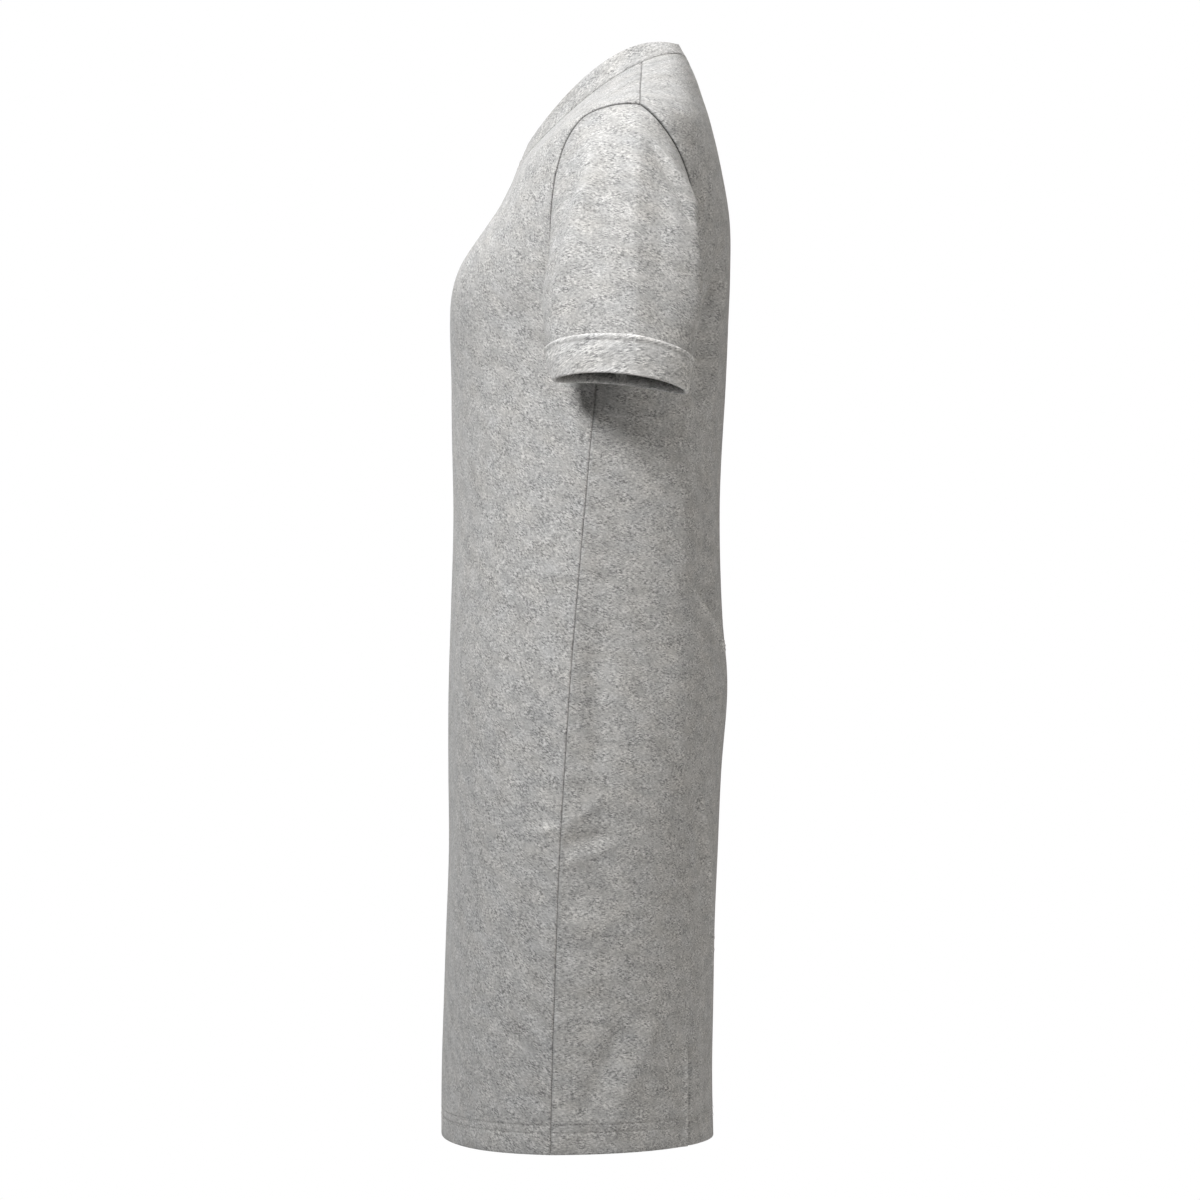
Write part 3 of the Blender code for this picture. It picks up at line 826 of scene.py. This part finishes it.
def sleeve_cloth(side):
    share, base, normal = sleeve_form()
    travelled, down = lengths_along(base, 1), lengths_along(base, 0)
    across = at_share(travelled, share, 0.5) - travelled     # from the outer line, to the front
    up = down[-1:] - down
    underarm = np.minimum(travelled, travelled[:, -1:] - travelled)
    from_armhole = distance_to(base, armhole_seam)
    folds = [fold for fold in SLEEVE_FOLDS if fold.side == side]
    lift = np.minimum(rolled_edge(from_armhole, ARMHOLE_DEPTH), rolled_edge(underarm))
    lift += crease_and_flare(across, up + SLEEVE_END, normal) * fade(down, *CREASE_BELOW)
    lift += folded(across, up, folds)
    # Painted shadow in the armhole's groove, and painted light and shade on the sharp folds
    tone = ARMHOLE_SHADE * swelling(from_armhole, SHADE_WIDTH) + crease_shading(across, up, folds)
    places = base + normal * lift[..., None]
    around = metres_round(travelled, up)
    flat = np.stack((around - at_share(around, share, 0.5), up), -1)
    if side == "right":
        places, flat = mirrored(places, flat)
        tone = tone[:, ::-1]
    return cut_cloth("sleeve_" + side + "_cloth", places[::-1], flat[::-1], tone=tone[::-1])


sleeves = {side: sleeve_cloth(side) for side in ("left", "right")}

# %% [markdown]
# ## Cuffs
# The sleeve's end is turned up on the outside. The path below goes once round the turned cloth:
# down the hidden layer against the sleeve, over the fold at the top, down the outer face, round
# the lip and a little way up inside. A plain ring would have the right size, but the folded
# edges are what tells a cuff from a stripe. The top one stands out a little and has a highlight
# painted along it, and the cloth just below it is pressed in and has shade painted along it.

# %% The path of a cuff's cloth
CUFF_COLUMNS = 150
CUFF_CLOTH = 0.0009      # a little under the jersey's, so that the cuff's layers stay apart
CUFF_TOP_FOLD = 0.00095
CUFF_HIDDEN = 0.008      # length of the layer behind the top fold
ROWS_TOP_FOLD, ROWS_BELOW_IT, ROWS_CUFF_FACE, ROWS_LIP = 7, 8, 16, 9
ROW_BELOW_IT = 0.0004    # between the rows just below the top fold
CUFF_FACE_FROM = 0.004   # below the top fold
CUFF_ROLL = 0.0005       # by which its top edge stands out above the face
CUFF_PRESSED = 0.0006    # depth of the line pressed below it
PRESSED_AT = 0.0020      # below the top fold
ROLL_WIDTH = 0.0008
# A highlight painted along the cuff's top fold
EDGE_HIGHLIGHT = 0.24         # the fold's fibres catch the light
EDGE_HIGHLIGHT_AT = 0.0005    # above the start of the top fold
EDGE_HIGHLIGHT_WIDTH = 0.0009
# Shade painted along the line pressed in below the top fold
PRESSED_SHADE = -0.22


def cuff_path(length):
    """Distance above the lip and above the sleeve's face, and painted highlight and shade, down
    the cuff's cloth.
    """
    top = length - CUFF_TOP_FOLD
    over = np.linspace(0, pi, ROWS_TOP_FOLD)
    over_up = top + CUFF_TOP_FOLD * np.sin(over)
    over_out = CUFF_STANDS - CUFF_TOP_FOLD * (1 + np.cos(over))
    lip = (CUFF_STANDS + CUFF_INSIDE) / 2
    under = np.linspace(0, pi, ROWS_LIP)
    under_up, under_out = lip - lip * np.sin(under), CUFF_STANDS - lip * (1 - np.cos(under))
    face = np.concatenate((top - np.arange(1, ROWS_BELOW_IT + 1) * ROW_BELOW_IT,
                           np.linspace(top - CUFF_FACE_FROM, lip, ROWS_CUFF_FACE)[:-1]))
    up = np.concatenate(([top - CUFF_HIDDEN], over_up, face, under_up, [CUFF_TURN_IN]))
    out = np.concatenate((over_out[:1], over_out, np.full(len(face), CUFF_STANDS),
                          under_out, under_out[-1:]))
    outside = (out >= CUFF_STANDS - 1.2 * CUFF_TOP_FOLD) & (up > lip)
    pressed = swelling(up - top + PRESSED_AT, ROLL_WIDTH) * outside
    out = out + CUFF_ROLL * swelling(up - top, ROLL_WIDTH) * outside - CUFF_PRESSED * pressed
    tone = EDGE_HIGHLIGHT * swelling(up - top - EDGE_HIGHLIGHT_AT, EDGE_HIGHLIGHT_WIDTH) * outside
    return up, out, tone + PRESSED_SHADE * pressed


print("rows of a cuff:", len(cuff_path(CUFF_LENGTH)[0]))

# %% [markdown]
# The path is carried round the sleeve, column by column, and takes the sleeve's crease and
# flare with it. The two ends of the sheet meet at the underarm and are merged there.

# %% Cuffs
def cuff_lengths(share):
    """How far the lip stands below the ring above it, at each share of the way round."""
    rings = sleeve_rings(share)
    return np.linalg.norm(rings[-1] - rings[-2], axis=-1)


def cuff_places(up, out):
    """Places and outward directions all round a cuff, and how far across each one is."""
    share = np.linspace(0, 1, CUFF_COLUMNS)
    length = cuff_lengths(share)
    up, out, share = np.broadcast_arrays(up, out, share[None])
    down = LIP - up / length
    base, normal = sleeve_points(share, down), sleeve_normals(share, down)
    travelled = lengths_along(base, 1)
    across = at_share(travelled, share, 0.5) - travelled
    lift = out + crease_and_flare(across, up, normal)
    return base + normal * lift[..., None], normal, across


def cuff_cloth(side):
    paths = [cuff_path(length) for length in cuff_lengths(np.linspace(0, 1, CUFF_COLUMNS))]
    up, out, tone = (np.stack(column, 1) for column in zip(*paths))
    places, normal, across = cuff_places(up, out)
    flat = np.stack((-across, -lengths_along(places, 0)), -1)
    if side == "right":
        places, flat = mirrored(places, flat)
    return cut_cloth("cuff_" + side + "_cloth", places[::-1], flat[::-1], closed=True,
                     wall=CUFF_CLOTH, tone=tone[::-1])


cuffs = {side: cuff_cloth(side) for side in ("left", "right")}

# %% [markdown]
# ## Neckband
# The neckband is a strip folded along its middle, so its rim is round. Both of its edges are
# sewn to the neckline. It stands from the neckline's ring to a smaller ring of its own, and goes
# over the rim on the same round path as the hem.

# %% Neckband
BAND_COLUMNS = 220
BAND_CLOTH = 0.00095
BAND_SEAM_ROWS = np.array((0.15, 0.5, 0.85, 1.2, 1.7, 2.3, 3.0)) / 1000
BAND_FACE_FROM = 0.004   # above the seam
ROWS_BAND_FACE, ROWS_BAND_FOLD = 14, 9
BAND_INNER_EDGE = 0.0015     # above the seam


def neckband_cloth():
    angle = np.linspace(0, 2 * pi, BAND_COLUMNS)
    seam = body_points(angle, np.full(BAND_COLUMNS, NECKLINE))
    rim = ring_points(NECK_RIM, angle)[0]
    stands = np.linalg.norm(rim - seam, axis=-1)
    direction = unit(rim - seam)
    around = unit(np.gradient(seam, axis=0))
    around[0] = around[-1] = (1, 0, 0)
    normal = unit(np.cross(around, direction))
    over_up, over_depth = (path[::-1][1:] for path in fold_path(BAND_FOLD, ROWS_BAND_FOLD))
    near = np.repeat(BAND_SEAM_ROWS[:, None], BAND_COLUMNS, 1)
    face = np.linspace(BAND_FACE_FROM, stands - BAND_FOLD, ROWS_BAND_FACE)
    inner_edge = np.full((1, BAND_COLUMNS), BAND_INNER_EDGE)
    up = np.concatenate((near, face, stands - over_up[:, None], inner_edge))
    below = np.concatenate((np.zeros(len(near) + len(face)), over_depth, [2 * BAND_FOLD]))
    roll = rolled_edge(up, NECK_DEPTH) * (below == 0)[:, None]
    places = seam + direction * up[..., None] + normal * (roll - below[:, None])[..., None]
    along_seam = lengths_along(np.broadcast_to(seam, places.shape), 1)
    flat = np.stack((along_seam, lengths_along(places, 0)), -1)
    return cut_cloth("neckband_cloth", places, flat, closed=True, wall=BAND_CLOTH)


neckband = neckband_cloth()

# %% [markdown]
# ## Seam allowances
# Inside the dress the cut edges are overlocked together and lie flat beside the seam. They show
# through the neck and the cuffs, and they keep light from shining through the seams. Each is a
# narrow band of its own, because it lies under both of the pieces that it joins. Like the
# stitches, the bands keep to the plain form.

# %% Seam allowances
ALLOWANCE_ROWS = np.array((-0.0015, 0.0, 0.002, 0.0045, 0.007))     # to one side of the seam
ALLOWANCE_WALL = 0.0014
ALLOWANCE_UNDER = 0.0019     # below the outer face of the cloth
SIDE_POINTS, SHOULDER_POINTS, ARMHOLE_POINTS, UNDERARM_POINTS, NECK_POINTS = 140, 40, 120, 50, 160
UNDERARM_END = LIP - 0.1     # the sleeve's ring number at which it stops


def allowance(name, line, normal, aside):
    """A flat band under a seam, reaching a little way to one side of it."""
    places = line + aside * ALLOWANCE_ROWS[:, None, None] - normal * ALLOWANCE_UNDER
    flat = np.stack((lengths_along(places, 1), lengths_along(places, 0)), -1)
    facing_out = (np.cross(line[1:] - line[:-1], aside[1:]) * normal[1:]).sum() > 0
    if not facing_out:
        places, flat = places[::-1], flat[::-1]
    return cut_cloth(name, places, flat, wall=ALLOWANCE_WALL)


def seam_on_body(angle, level, towards_angle, towards_level):
    """A line on the body with its outward directions and the direction to one side of it."""
    line, normal = body_points(angle, level), body_normals(angle, level)
    aside = unit(body_points(angle + towards_angle * STEP, level + towards_level * STEP) - line)
    return line, normal, aside


def armhole_inside():
    """The armhole's edge, the directions out of its seam, and those down the sleeve."""
    across = np.linspace(0, 1, ARMHOLE_POINTS)
    edge, way = armhole_exit(across)
    normal = unit(np.cross(way, np.gradient(edge, axis=0)))
    outward = body_normals(*armhole_place(across)[::-1])
    return edge, normal * np.sign((normal * outward).sum()), way


def underarm_inside():
    """The sleeve's own seam, from the armhole down to just above the lip."""
    share, down = np.zeros(UNDERARM_POINTS), np.linspace(0, UNDERARM_END, UNDERARM_POINTS)
    line, normal = sleeve_points(share, down), sleeve_normals(share, down)
    return line, normal, unit(sleeve_points(share - STEP, down) - line)


hem_to_underarm = np.linspace(HEM_FOLD / LEVEL_LENGTH, UNDERARM, SIDE_POINTS)
shoulder_to_neck = np.linspace(SHOULDER, NECKLINE, SHOULDER_POINTS)
LEFT_SEAMS = {
    "side": seam_on_body(np.full(SIDE_POINTS, pi / 2), hem_to_underarm, 1, 0),
    "shoulder": seam_on_body(np.full(SHOULDER_POINTS, pi / 2), shoulder_to_neck, 1, 0),
    "armhole": armhole_inside(),
    "underarm": underarm_inside(),
}
allowances = {}
for side, flip in (("left", 1), ("right", TO_RIGHT)):
    for seam, parts in LEFT_SEAMS.items():
        allowances[seam, side] = allowance(f"{seam}_allowance_{side}",
                                           *(part * flip for part in parts))
parts = seam_on_body(np.linspace(0, 2 * pi, NECK_POINTS),
                     np.full(NECK_POINTS, float(NECKLINE)), 0, -1)
allowances["neck", "all"] = allowance("neck_allowance", *parts)

# %% [markdown]
# ## Materials
# Heather yarn is spun from light and dark fibres together, so the cloth is speckled: short
# streaks that lie along the knitted courses, a finer grain from the loops, and broad patches
# that are barely lighter or warmer. Each is a noise texture on the flat cloth, stretched to its
# size in metres, so it never changes from piece to piece except for its slant. A picture of
# cloth would show its edges and repeats, and noise has none.

# %% Nodes of a material
def feed(tree, socket, value):
    """Set a node's input, or link it where the value is another node's output."""
    if isinstance(value, bpy.types.NodeSocket):
        tree.links.new(value, socket)
    else:
        socket.default_value = value


def node(tree, kind, **inputs):
    """A new node with its named inputs fed."""
    made = tree.nodes.new(kind)
    for name, value in inputs.items():
        feed(tree, made.inputs[name.replace("_", " ")], value)
    return made


def calculated(tree, operation, *values):
    """The output of a Math node fed with numbers or other nodes' outputs."""
    made = tree.nodes.new("ShaderNodeMath")
    made.operation = operation
    for number, value in enumerate(values):
        feed(tree, made.inputs[number], value)
    return made.outputs[0]


def mixed(tree, kind, factor, first, second):
    """The output of a Mix node fed with colours."""
    made = tree.nodes.new("ShaderNodeMix")
    made.data_type = "RGBA"
    made.blend_type = kind
    for name, value in (("Factor", factor), ("A", first), ("B", second)):
        feed(tree, made.inputs[name], value)
    return made.outputs["Result"]


# %% [markdown]
# The yarn is the longest streak, and it has a shade of its own on each knitted row, because
# neighbouring rows are knitted from different lengths of it. The grain and the patches are
# plain noise. So are the warmth of the colour, and the evenness that makes the yarn's streaks
# strong in one place and faint in the next. Each reads the noise at an offset of its own, so
# no two of them fall together.

# %% Yarn and grain
COURSE = 0.00080         # height of one knitted row
WALE = 0.00090           # width of one loop
ROW_APART = 7.37         # how far apart in the noise two rows are read
YARN_OFFSET, YARN_DETAIL, YARN_ROUGHNESS = 0.5, 2.0, 0.55
SPECKLE_ROUGHNESS = 0.6
Speckle = namedtuple("Speckle", "along across detail offset")
FIBRE = Speckle(0.0012, 0.0005, 2.0, 3.1)
PATCHES = Speckle(0.024, 0.012, 1.0, 1.7)
WARMTH = Speckle(0.030, 0.018, 1.0, 5.9)
EVENNESS = Speckle(0.014, 0.009, 2.0, 9.3)


def noise(tree, place, detail, roughness):
    made = node(tree, "ShaderNodeTexNoise", Scale=1.0, Detail=detail, Roughness=roughness)
    made.noise_dimensions = "2D"
    tree.links.new(place, made.inputs["Vector"])
    return made.outputs["Fac"]


def speckle(tree, cloth, kind):
    """Soft noise on the flat cloth, with patches of the kind's size in metres."""
    stretched = node(tree, "ShaderNodeMapping", Vector=cloth,
                     Scale=(1 / kind.along, 1 / kind.across, 1),
                     Location=(kind.offset, kind.offset * 0.7, 0))
    return noise(tree, stretched.outputs["Vector"], kind.detail, SPECKLE_ROUGHNESS)


def yarn_rows(tree, cloth, length):
    """Shades along the yarn: noise of that length along each knitted row, and none shared
    between one row and the next."""
    parts = node(tree, "ShaderNodeSeparateXYZ", Vector=cloth)
    row = calculated(tree, "FLOOR", calculated(tree, "DIVIDE", parts.outputs["Y"], COURSE))
    place = node(tree, "ShaderNodeCombineXYZ",
                 X=calculated(tree, "DIVIDE", parts.outputs["X"], length),
                 Y=calculated(tree, "MULTIPLY_ADD", row, ROW_APART, YARN_OFFSET))
    return noise(tree, place.outputs[0], YARN_DETAIL, YARN_ROUGHNESS)


def total(tree, parts):
    """The sum of some values, each less a half and times its strength, plus a half."""
    so_far = 0.5
    for value, strength in parts:
        scaled = calculated(tree, "MULTIPLY_ADD", value, strength, -strength / 2)
        so_far = calculated(tree, "ADD", so_far, scaled)
    return so_far


# %% [markdown]
# The heather's colour runs from the dark fibres to the light ones by the sum of those shades.
# The light and shade painted on the vertices then darken or lighten it, and the loops and the
# fibres also drive a shallow bump. Cotton is rough and has a weak sheen.

# %% Heather jersey
LIGHT_YARN = (0.66, 0.655, 0.645)
DARK_YARN = (0.20, 0.20, 0.20)
COOL_TINT = (0.985, 0.995, 1.01, 1)
WARM_TINT = (1.02, 1.0, 0.97, 1)
YARN_LENGTH = 0.0028     # of one shade along the yarn
YARN_STRENGTH, YARN_LEAST = 5.0, -0.55     # how strong its shades are, by the evenness there
FIBRE_STRENGTH = 0.50
PATCH_STRENGTH = 0.45
BUMP_HEIGHT = 0.00012
SHADER_VALUES = {"Roughness": 0.92, "Specular IOR Level": 0.2,
                 "Sheen Weight": 0.15, "Sheen Roughness": 0.6}


def heather_colour(tree, cloth, fibre, shade, length):
    """The colour of the yarn at each place on the flat cloth."""
    yarn = yarn_rows(tree, cloth, length)
    patches, warmth, evenness = (speckle(tree, cloth, kind)
                                 for kind in (PATCHES, WARMTH, EVENNESS))
    strength = calculated(tree, "MULTIPLY_ADD", evenness, YARN_STRENGTH, YARN_LEAST)
    uneven = calculated(tree, "MULTIPLY", calculated(tree, "SUBTRACT", yarn, 0.5), strength)
    blend = total(tree, ((calculated(tree, "ADD", uneven, 0.5), 1.0),
                         (fibre, FIBRE_STRENGTH), (patches, PATCH_STRENGTH)))
    dark, light = ((*(shade * part for part in colour), 1) for colour in (DARK_YARN, LIGHT_YARN))
    yarn_colour = mixed(tree, "MIX", blend, dark, light)
    tint = mixed(tree, "MIX", warmth, COOL_TINT, WARM_TINT)
    return mixed(tree, "MULTIPLY", 1.0, yarn_colour, tint)


def loops_of(tree, cloth, fibre):
    """The height of the knitted loops and their fibres."""
    parts = node(tree, "ShaderNodeSeparateXYZ", Vector=cloth)
    across, up = (calculated(tree, "SINE", calculated(tree, "MULTIPLY", parts.outputs[axis],
                                                      2 * pi / size))
                  for axis, size in (("X", WALE), ("Y", COURSE)))
    return calculated(tree, "MULTIPLY_ADD", across, up, calculated(tree, "MULTIPLY", fibre, 2.0))


def heather(name, slant, shade=1.0, length=YARN_LENGTH):
    """Heather jersey whose knitted rows slope by slant degrees on the flat cloth."""
    material = bpy.data.materials.new(name)
    material.use_nodes = True
    tree = material.node_tree
    shader = tree.nodes["Principled BSDF"]
    flat_cloth = tree.nodes.new("ShaderNodeUVMap")
    flat_cloth.uv_map = "flat_cloth"
    turned = node(tree, "ShaderNodeMapping", Vector=flat_cloth.outputs["UV"],
                  Rotation=(0, 0, radians(slant)))
    cloth = turned.outputs["Vector"]
    fibre = speckle(tree, cloth, FIBRE)
    # Light and shade painted on the vertices scale the heather's colour
    tone = tree.nodes.new("ShaderNodeAttribute")
    tone.attribute_name = "tone"
    toned = tree.nodes.new("ShaderNodeVectorMath")
    toned.operation = "SCALE"
    feed(tree, toned.inputs[0], heather_colour(tree, cloth, fibre, shade, length))
    feed(tree, toned.inputs["Scale"], calculated(tree, "ADD", tone.outputs["Fac"], 1.0))
    feed(tree, shader.inputs["Base Color"], toned.outputs[0])
    knit = node(tree, "ShaderNodeBump", Height=loops_of(tree, cloth, fibre), Strength=0.5,
                Distance=BUMP_HEIGHT)
    feed(tree, shader.inputs["Normal"], knit.outputs["Normal"])
    for value_name, value in SHADER_VALUES.items():
        shader.inputs[value_name].default_value = value
    return material


def give(piece, material):
    piece.data.materials.clear()
    piece.data.materials.append(material)


give(front, heather("front_heather", 30))
give(back, heather("back_heather", 7))
for side, flip in (("left", 1), ("right", -1)):
    give(sleeves[side], heather("sleeve_heather_" + side, 9 * flip))
    # The cuffs are painted about a quarter lighter than the sleeves, for the light their flared
    # face catches
    give(cuffs[side], heather("cuff_heather_" + side, -16 * flip, shade=1.24, length=0.0040))
give(neckband, heather("neckband_heather", 8, shade=1.04))
inside = heather("allowance_heather", 0, shade=0.95)
for piece in allowances.values():
    give(piece, inside)
print(len(inside.node_tree.nodes), "nodes in each heather")

# %% [markdown]
# ## Hem stitches
# The hem is held by two rows of stitches side by side, made at once by a twin needle. One
# stitch is a small capsule. An Array modifier makes the whole row on the table, and the row is
# then laid along the form of the dress. A line drawn in the material would be quicker, but
# thread is round. The rows keep to the plain form and not to its folds, so what shows of them
# is mostly the dents that they press into the cloth.

# %% Hem stitches
STITCH = 0.0026
STITCH_PITCH = 0.0031
THREAD = 0.00042
ROW_POINTS = 400
ROW_END = 0.02           # radians before the side seam
STITCH_ABOVE = 0.2       # of the thread's thickness, for the middle of a stitch


def stitch_row(name, line, normal, pitch=STITCH_PITCH, stitch=STITCH):
    """Stitches along a line on the cloth."""
    travelled = lengths_along(line, 0)
    count = int(travelled[-1] / pitch)
    bpy.ops.object.select_all(action="DESELECT")
    bpy.ops.mesh.primitive_uv_sphere_add(segments=6, ring_count=4, radius=0.5)
    row = bpy.context.object
    row.name = name
    bpy.ops.object.mode_set(mode="EDIT")
    bpy.ops.mesh.select_all(action="SELECT")
    bpy.ops.transform.rotate(value=pi / 2, orient_axis="Y", center_override=(0, 0, 0))
    bpy.ops.transform.resize(value=(stitch, THREAD, THREAD))
    bpy.ops.object.mode_set(mode="OBJECT")
    bpy.ops.object.shade_smooth()
    copies = row.modifiers.new("row", "ARRAY")
    copies.count = count
    copies.use_relative_offset = False
    copies.use_constant_offset = True
    copies.constant_offset_displace = (pitch, 0, 0)
    bpy.ops.object.modifier_apply(modifier=copies.name)
    on_table = np.empty(len(row.data.vertices) * 3, dtype=np.float32)
    row.data.vertices.foreach_get("co", on_table)
    along, aside, above = on_table.reshape(-1, 3).T
    along = along + pitch / 2

    def on_line(values):
        return np.stack([np.interp(along, travelled, values[:, axis]) for axis in range(3)], 1)
    out = on_line(normal)
    sideways = np.cross(on_line(unit(np.gradient(line, axis=0))), out)
    places = on_line(line) + sideways * aside[:, None] + out * above[:, None]
    row.data.vertices.foreach_set("co", places.astype(np.float32).ravel())
    print(f"{name}: {count} stitches")
    return row


def painted(name, colour, roughness):
    """A plain material, for the thread and for what isn't the dress."""
    material = bpy.data.materials.new(name)
    material.use_nodes = True
    shader = material.node_tree.nodes["Principled BSDF"]
    shader.inputs["Base Color"].default_value = (*colour, 1)
    shader.inputs["Roughness"].default_value = roughness
    return material


thread_material = painted("thread", (0.62, 0.62, 0.61), 0.6)
hem_stitches = {"front": [], "back": []}
for side, centre in (("front", 0.0), ("back", pi)):
    for number, up in enumerate(HEM_STITCH_ROWS):
        angle = centre + np.linspace(-1, 1, ROW_POINTS) * (pi / 2 - ROW_END)
        level = np.full(ROW_POINTS, up / LEVEL_LENGTH)
        line, normal = body_points(angle, level), body_normals(angle, level)
        row = stitch_row(f"hem_stitches_{side}_{number}", line + normal * THREAD * STITCH_ABOVE,
                         normal)
        give(row, thread_material)
        hem_stitches[side].append(row)

# %% [markdown]
# A few zigzag stitches tack each cuff to its sleeve at the crease, so that it stays turned up.
# They are made as the hem's are, along a short zigzag line.

# %% Cuff tacks
TACK_UP = (0.0262, 0.0286)      # above the lip
TACK_STEPS = np.array((-0.0013, -0.0006, 0.0001, 0.0008, 0.0015))     # across from the crease
TACK_ABOVE = 0.3         # of the thread's thickness
TACK_STITCHES = len(TACK_STEPS) - 1


def cuff_tack(side):
    up = np.where(np.arange(len(TACK_STEPS)) % 2, TACK_UP[1], TACK_UP[0])
    places, normal, across = cuff_places(up[:, None], CUFF_STANDS + THREAD * TACK_ABOVE)
    crease = np.interp(up, CREASE_UP, CREASE_ACROSS) + TACK_STEPS
    line, facing = (np.array([[np.interp(-crease[row], -across[row], values[row, :, axis])
                               for axis in range(3)] for row in range(len(up))])
                    for values in (places, normal))
    if side == "right":
        line, facing = line * TO_RIGHT, facing * TO_RIGHT
    length = lengths_along(line, 0)[-1]
    return stitch_row("cuff_tack_" + side, line, facing, pitch=length / (TACK_STITCHES + 0.01),
                      stitch=length / (TACK_STITCHES + 0.2))


tacks = {side: cuff_tack(side) for side in ("left", "right")}
for tack in tacks.values():
    give(tack, thread_material)

# %% [markdown]
# ## What each piece stands for
# Every piece moves with the dress, which is a single body, and stands for its solid in the
# imported model, which is then hidden. The size that each sheet of cloth was cut to is printed.

# %% Pieces and sheets
def cut_size(piece):
    """Width and length of the rectangle that the flat piece is cut from, and its area."""
    corners = np.empty(len(piece.data.loops) * 2, dtype=np.float32)
    piece.data.uv_layers[0].uv.foreach_get("vector", corners)
    corners = corners.reshape(-1, 2)
    width, length = (float(side) for side in corners.max(0) - corners.min(0))
    area = sum(face.area for face in piece.data.polygons) / 2
    return (round(width, 3), round(length, 3)), min(round(area, 4), round(width * length, 4))


def declare(piece, node_name, going_with):
    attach(piece, "root")
    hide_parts(node_name)
    for other in going_with:
        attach(other, "root")
    flat, area = cut_size(piece)
    print(node_name, "cut from", flat, "area", area)


declare(front, "front", hem_stitches["front"])
declare(back, "back", hem_stitches["back"] + [
    allowances[seam, side] for seam in ("side", "shoulder") for side in ("left", "right")])
for side in ("left", "right"):
    declare(sleeves[side], "sleeve_" + side,
            [allowances["armhole", side], allowances["underarm", side]])
    declare(cuffs[side], "cuff_" + side, [tacks[side]])
declare(neckband, "neckband", [allowances["neck", "all"]])

# %% [markdown]
# ## Floor, light and background
# The dress hangs above a pale floor, in a white studio. The floor is one plain disc, far enough
# below the hem to stay out of the main view.

# %% Floor
FLOOR_HEIGHT = -1.38
FLOOR_RADIUS = 3.0

bpy.ops.object.select_all(action="DESELECT")
bpy.ops.mesh.primitive_circle_add(vertices=96, radius=FLOOR_RADIUS, fill_type="NGON",
                                  location=(0, 0, FLOOR_HEIGHT))
floor = bpy.context.object
floor.name = "floor"
bpy.ops.object.transform_apply(location=True, rotation=True, scale=True)
give(floor, painted("pale_floor", (0.8, 0.8, 0.8), 0.9))

# %% [markdown]
# The key light stands close to the left shoulder, a little to the front, so the sleeve is
# bright and the light falls off towards the hem. Two lights above brighten the shoulders, a
# wide one on either side of the front fills the chest, and two warm ones behind keep the back
# from going dark. All are soft discs, because hard light would sharpen the folds of so soft a
# cloth. The background is white to the camera only: a white room would light the cloth from
# all sides and flatten it.

# %% Lights
Light = namedtuple("Light", "name place aim size power colour")
WHITE = (1, 1, 1)
LIGHTS = (
    Light("key", (1.25, -0.66, 0.46), (0.12, 0, -0.14), 0.4, 21, WHITE),
    Light("top", (0.0, -0.1, 1.4), (0, 0, -0.3), 0.9, 18, WHITE),
    Light("top_side", (0.6, 0.3, 1.2), (0.1, 0, -0.3), 0.7, 2.5, WHITE),
    Light("front", (-0.6, -2.1, 0.8), (0, 0, -0.2), 1.2, 8, WHITE),
    Light("back_low", (0.3, 2.0, -0.9), (0, 0, -0.6), 0.8, 3, (1.0, 0.95, 0.88)),
    Light("back_side", (1.0, 2.3, 0.25), (0, 0, -0.35), 1.0, 15, (1.0, 0.96, 0.90)),
    Light("far_side", (-1.9, -0.9, 0.6), (0, 0, -0.4), 1.2, 20, WHITE),
)
ROOM_LIGHT = 0.08

for row in LIGHTS:
    light = bpy.data.objects.new(row.name, bpy.data.lights.new(row.name, "AREA"))
    bpy.context.scene.collection.objects.link(light)
    light.data.shape = "DISK"
    light.data.size = row.size
    light.data.energy = row.power
    light.data.color = row.colour
    light.location = row.place
    way = Vector(row.aim) - Vector(row.place)
    light.rotation_euler = way.to_track_quat("-Z", "Y").to_euler()

world = bpy.data.worlds.new("studio")
bpy.context.scene.world = world
world.use_nodes = True
tree = world.node_tree
room = tree.nodes["Background"]
room.inputs["Color"].default_value = (*WHITE, 1)
room.inputs["Strength"].default_value = ROOM_LIGHT
backdrop = node(tree, "ShaderNodeBackground", Color=(*WHITE, 1), Strength=1.0)
seen = tree.nodes.new("ShaderNodeLightPath")
either = tree.nodes.new("ShaderNodeMixShader")
feed(tree, either.inputs[0], seen.outputs["Is Camera Ray"])
feed(tree, either.inputs[1], room.outputs[0])
feed(tree, either.inputs[2], backdrop.outputs[0])
feed(tree, tree.nodes["World Output"].inputs["Surface"], either.outputs[0])
bpy.context.scene.view_settings.view_transform = "Standard"
print(len(LIGHTS), "lights")
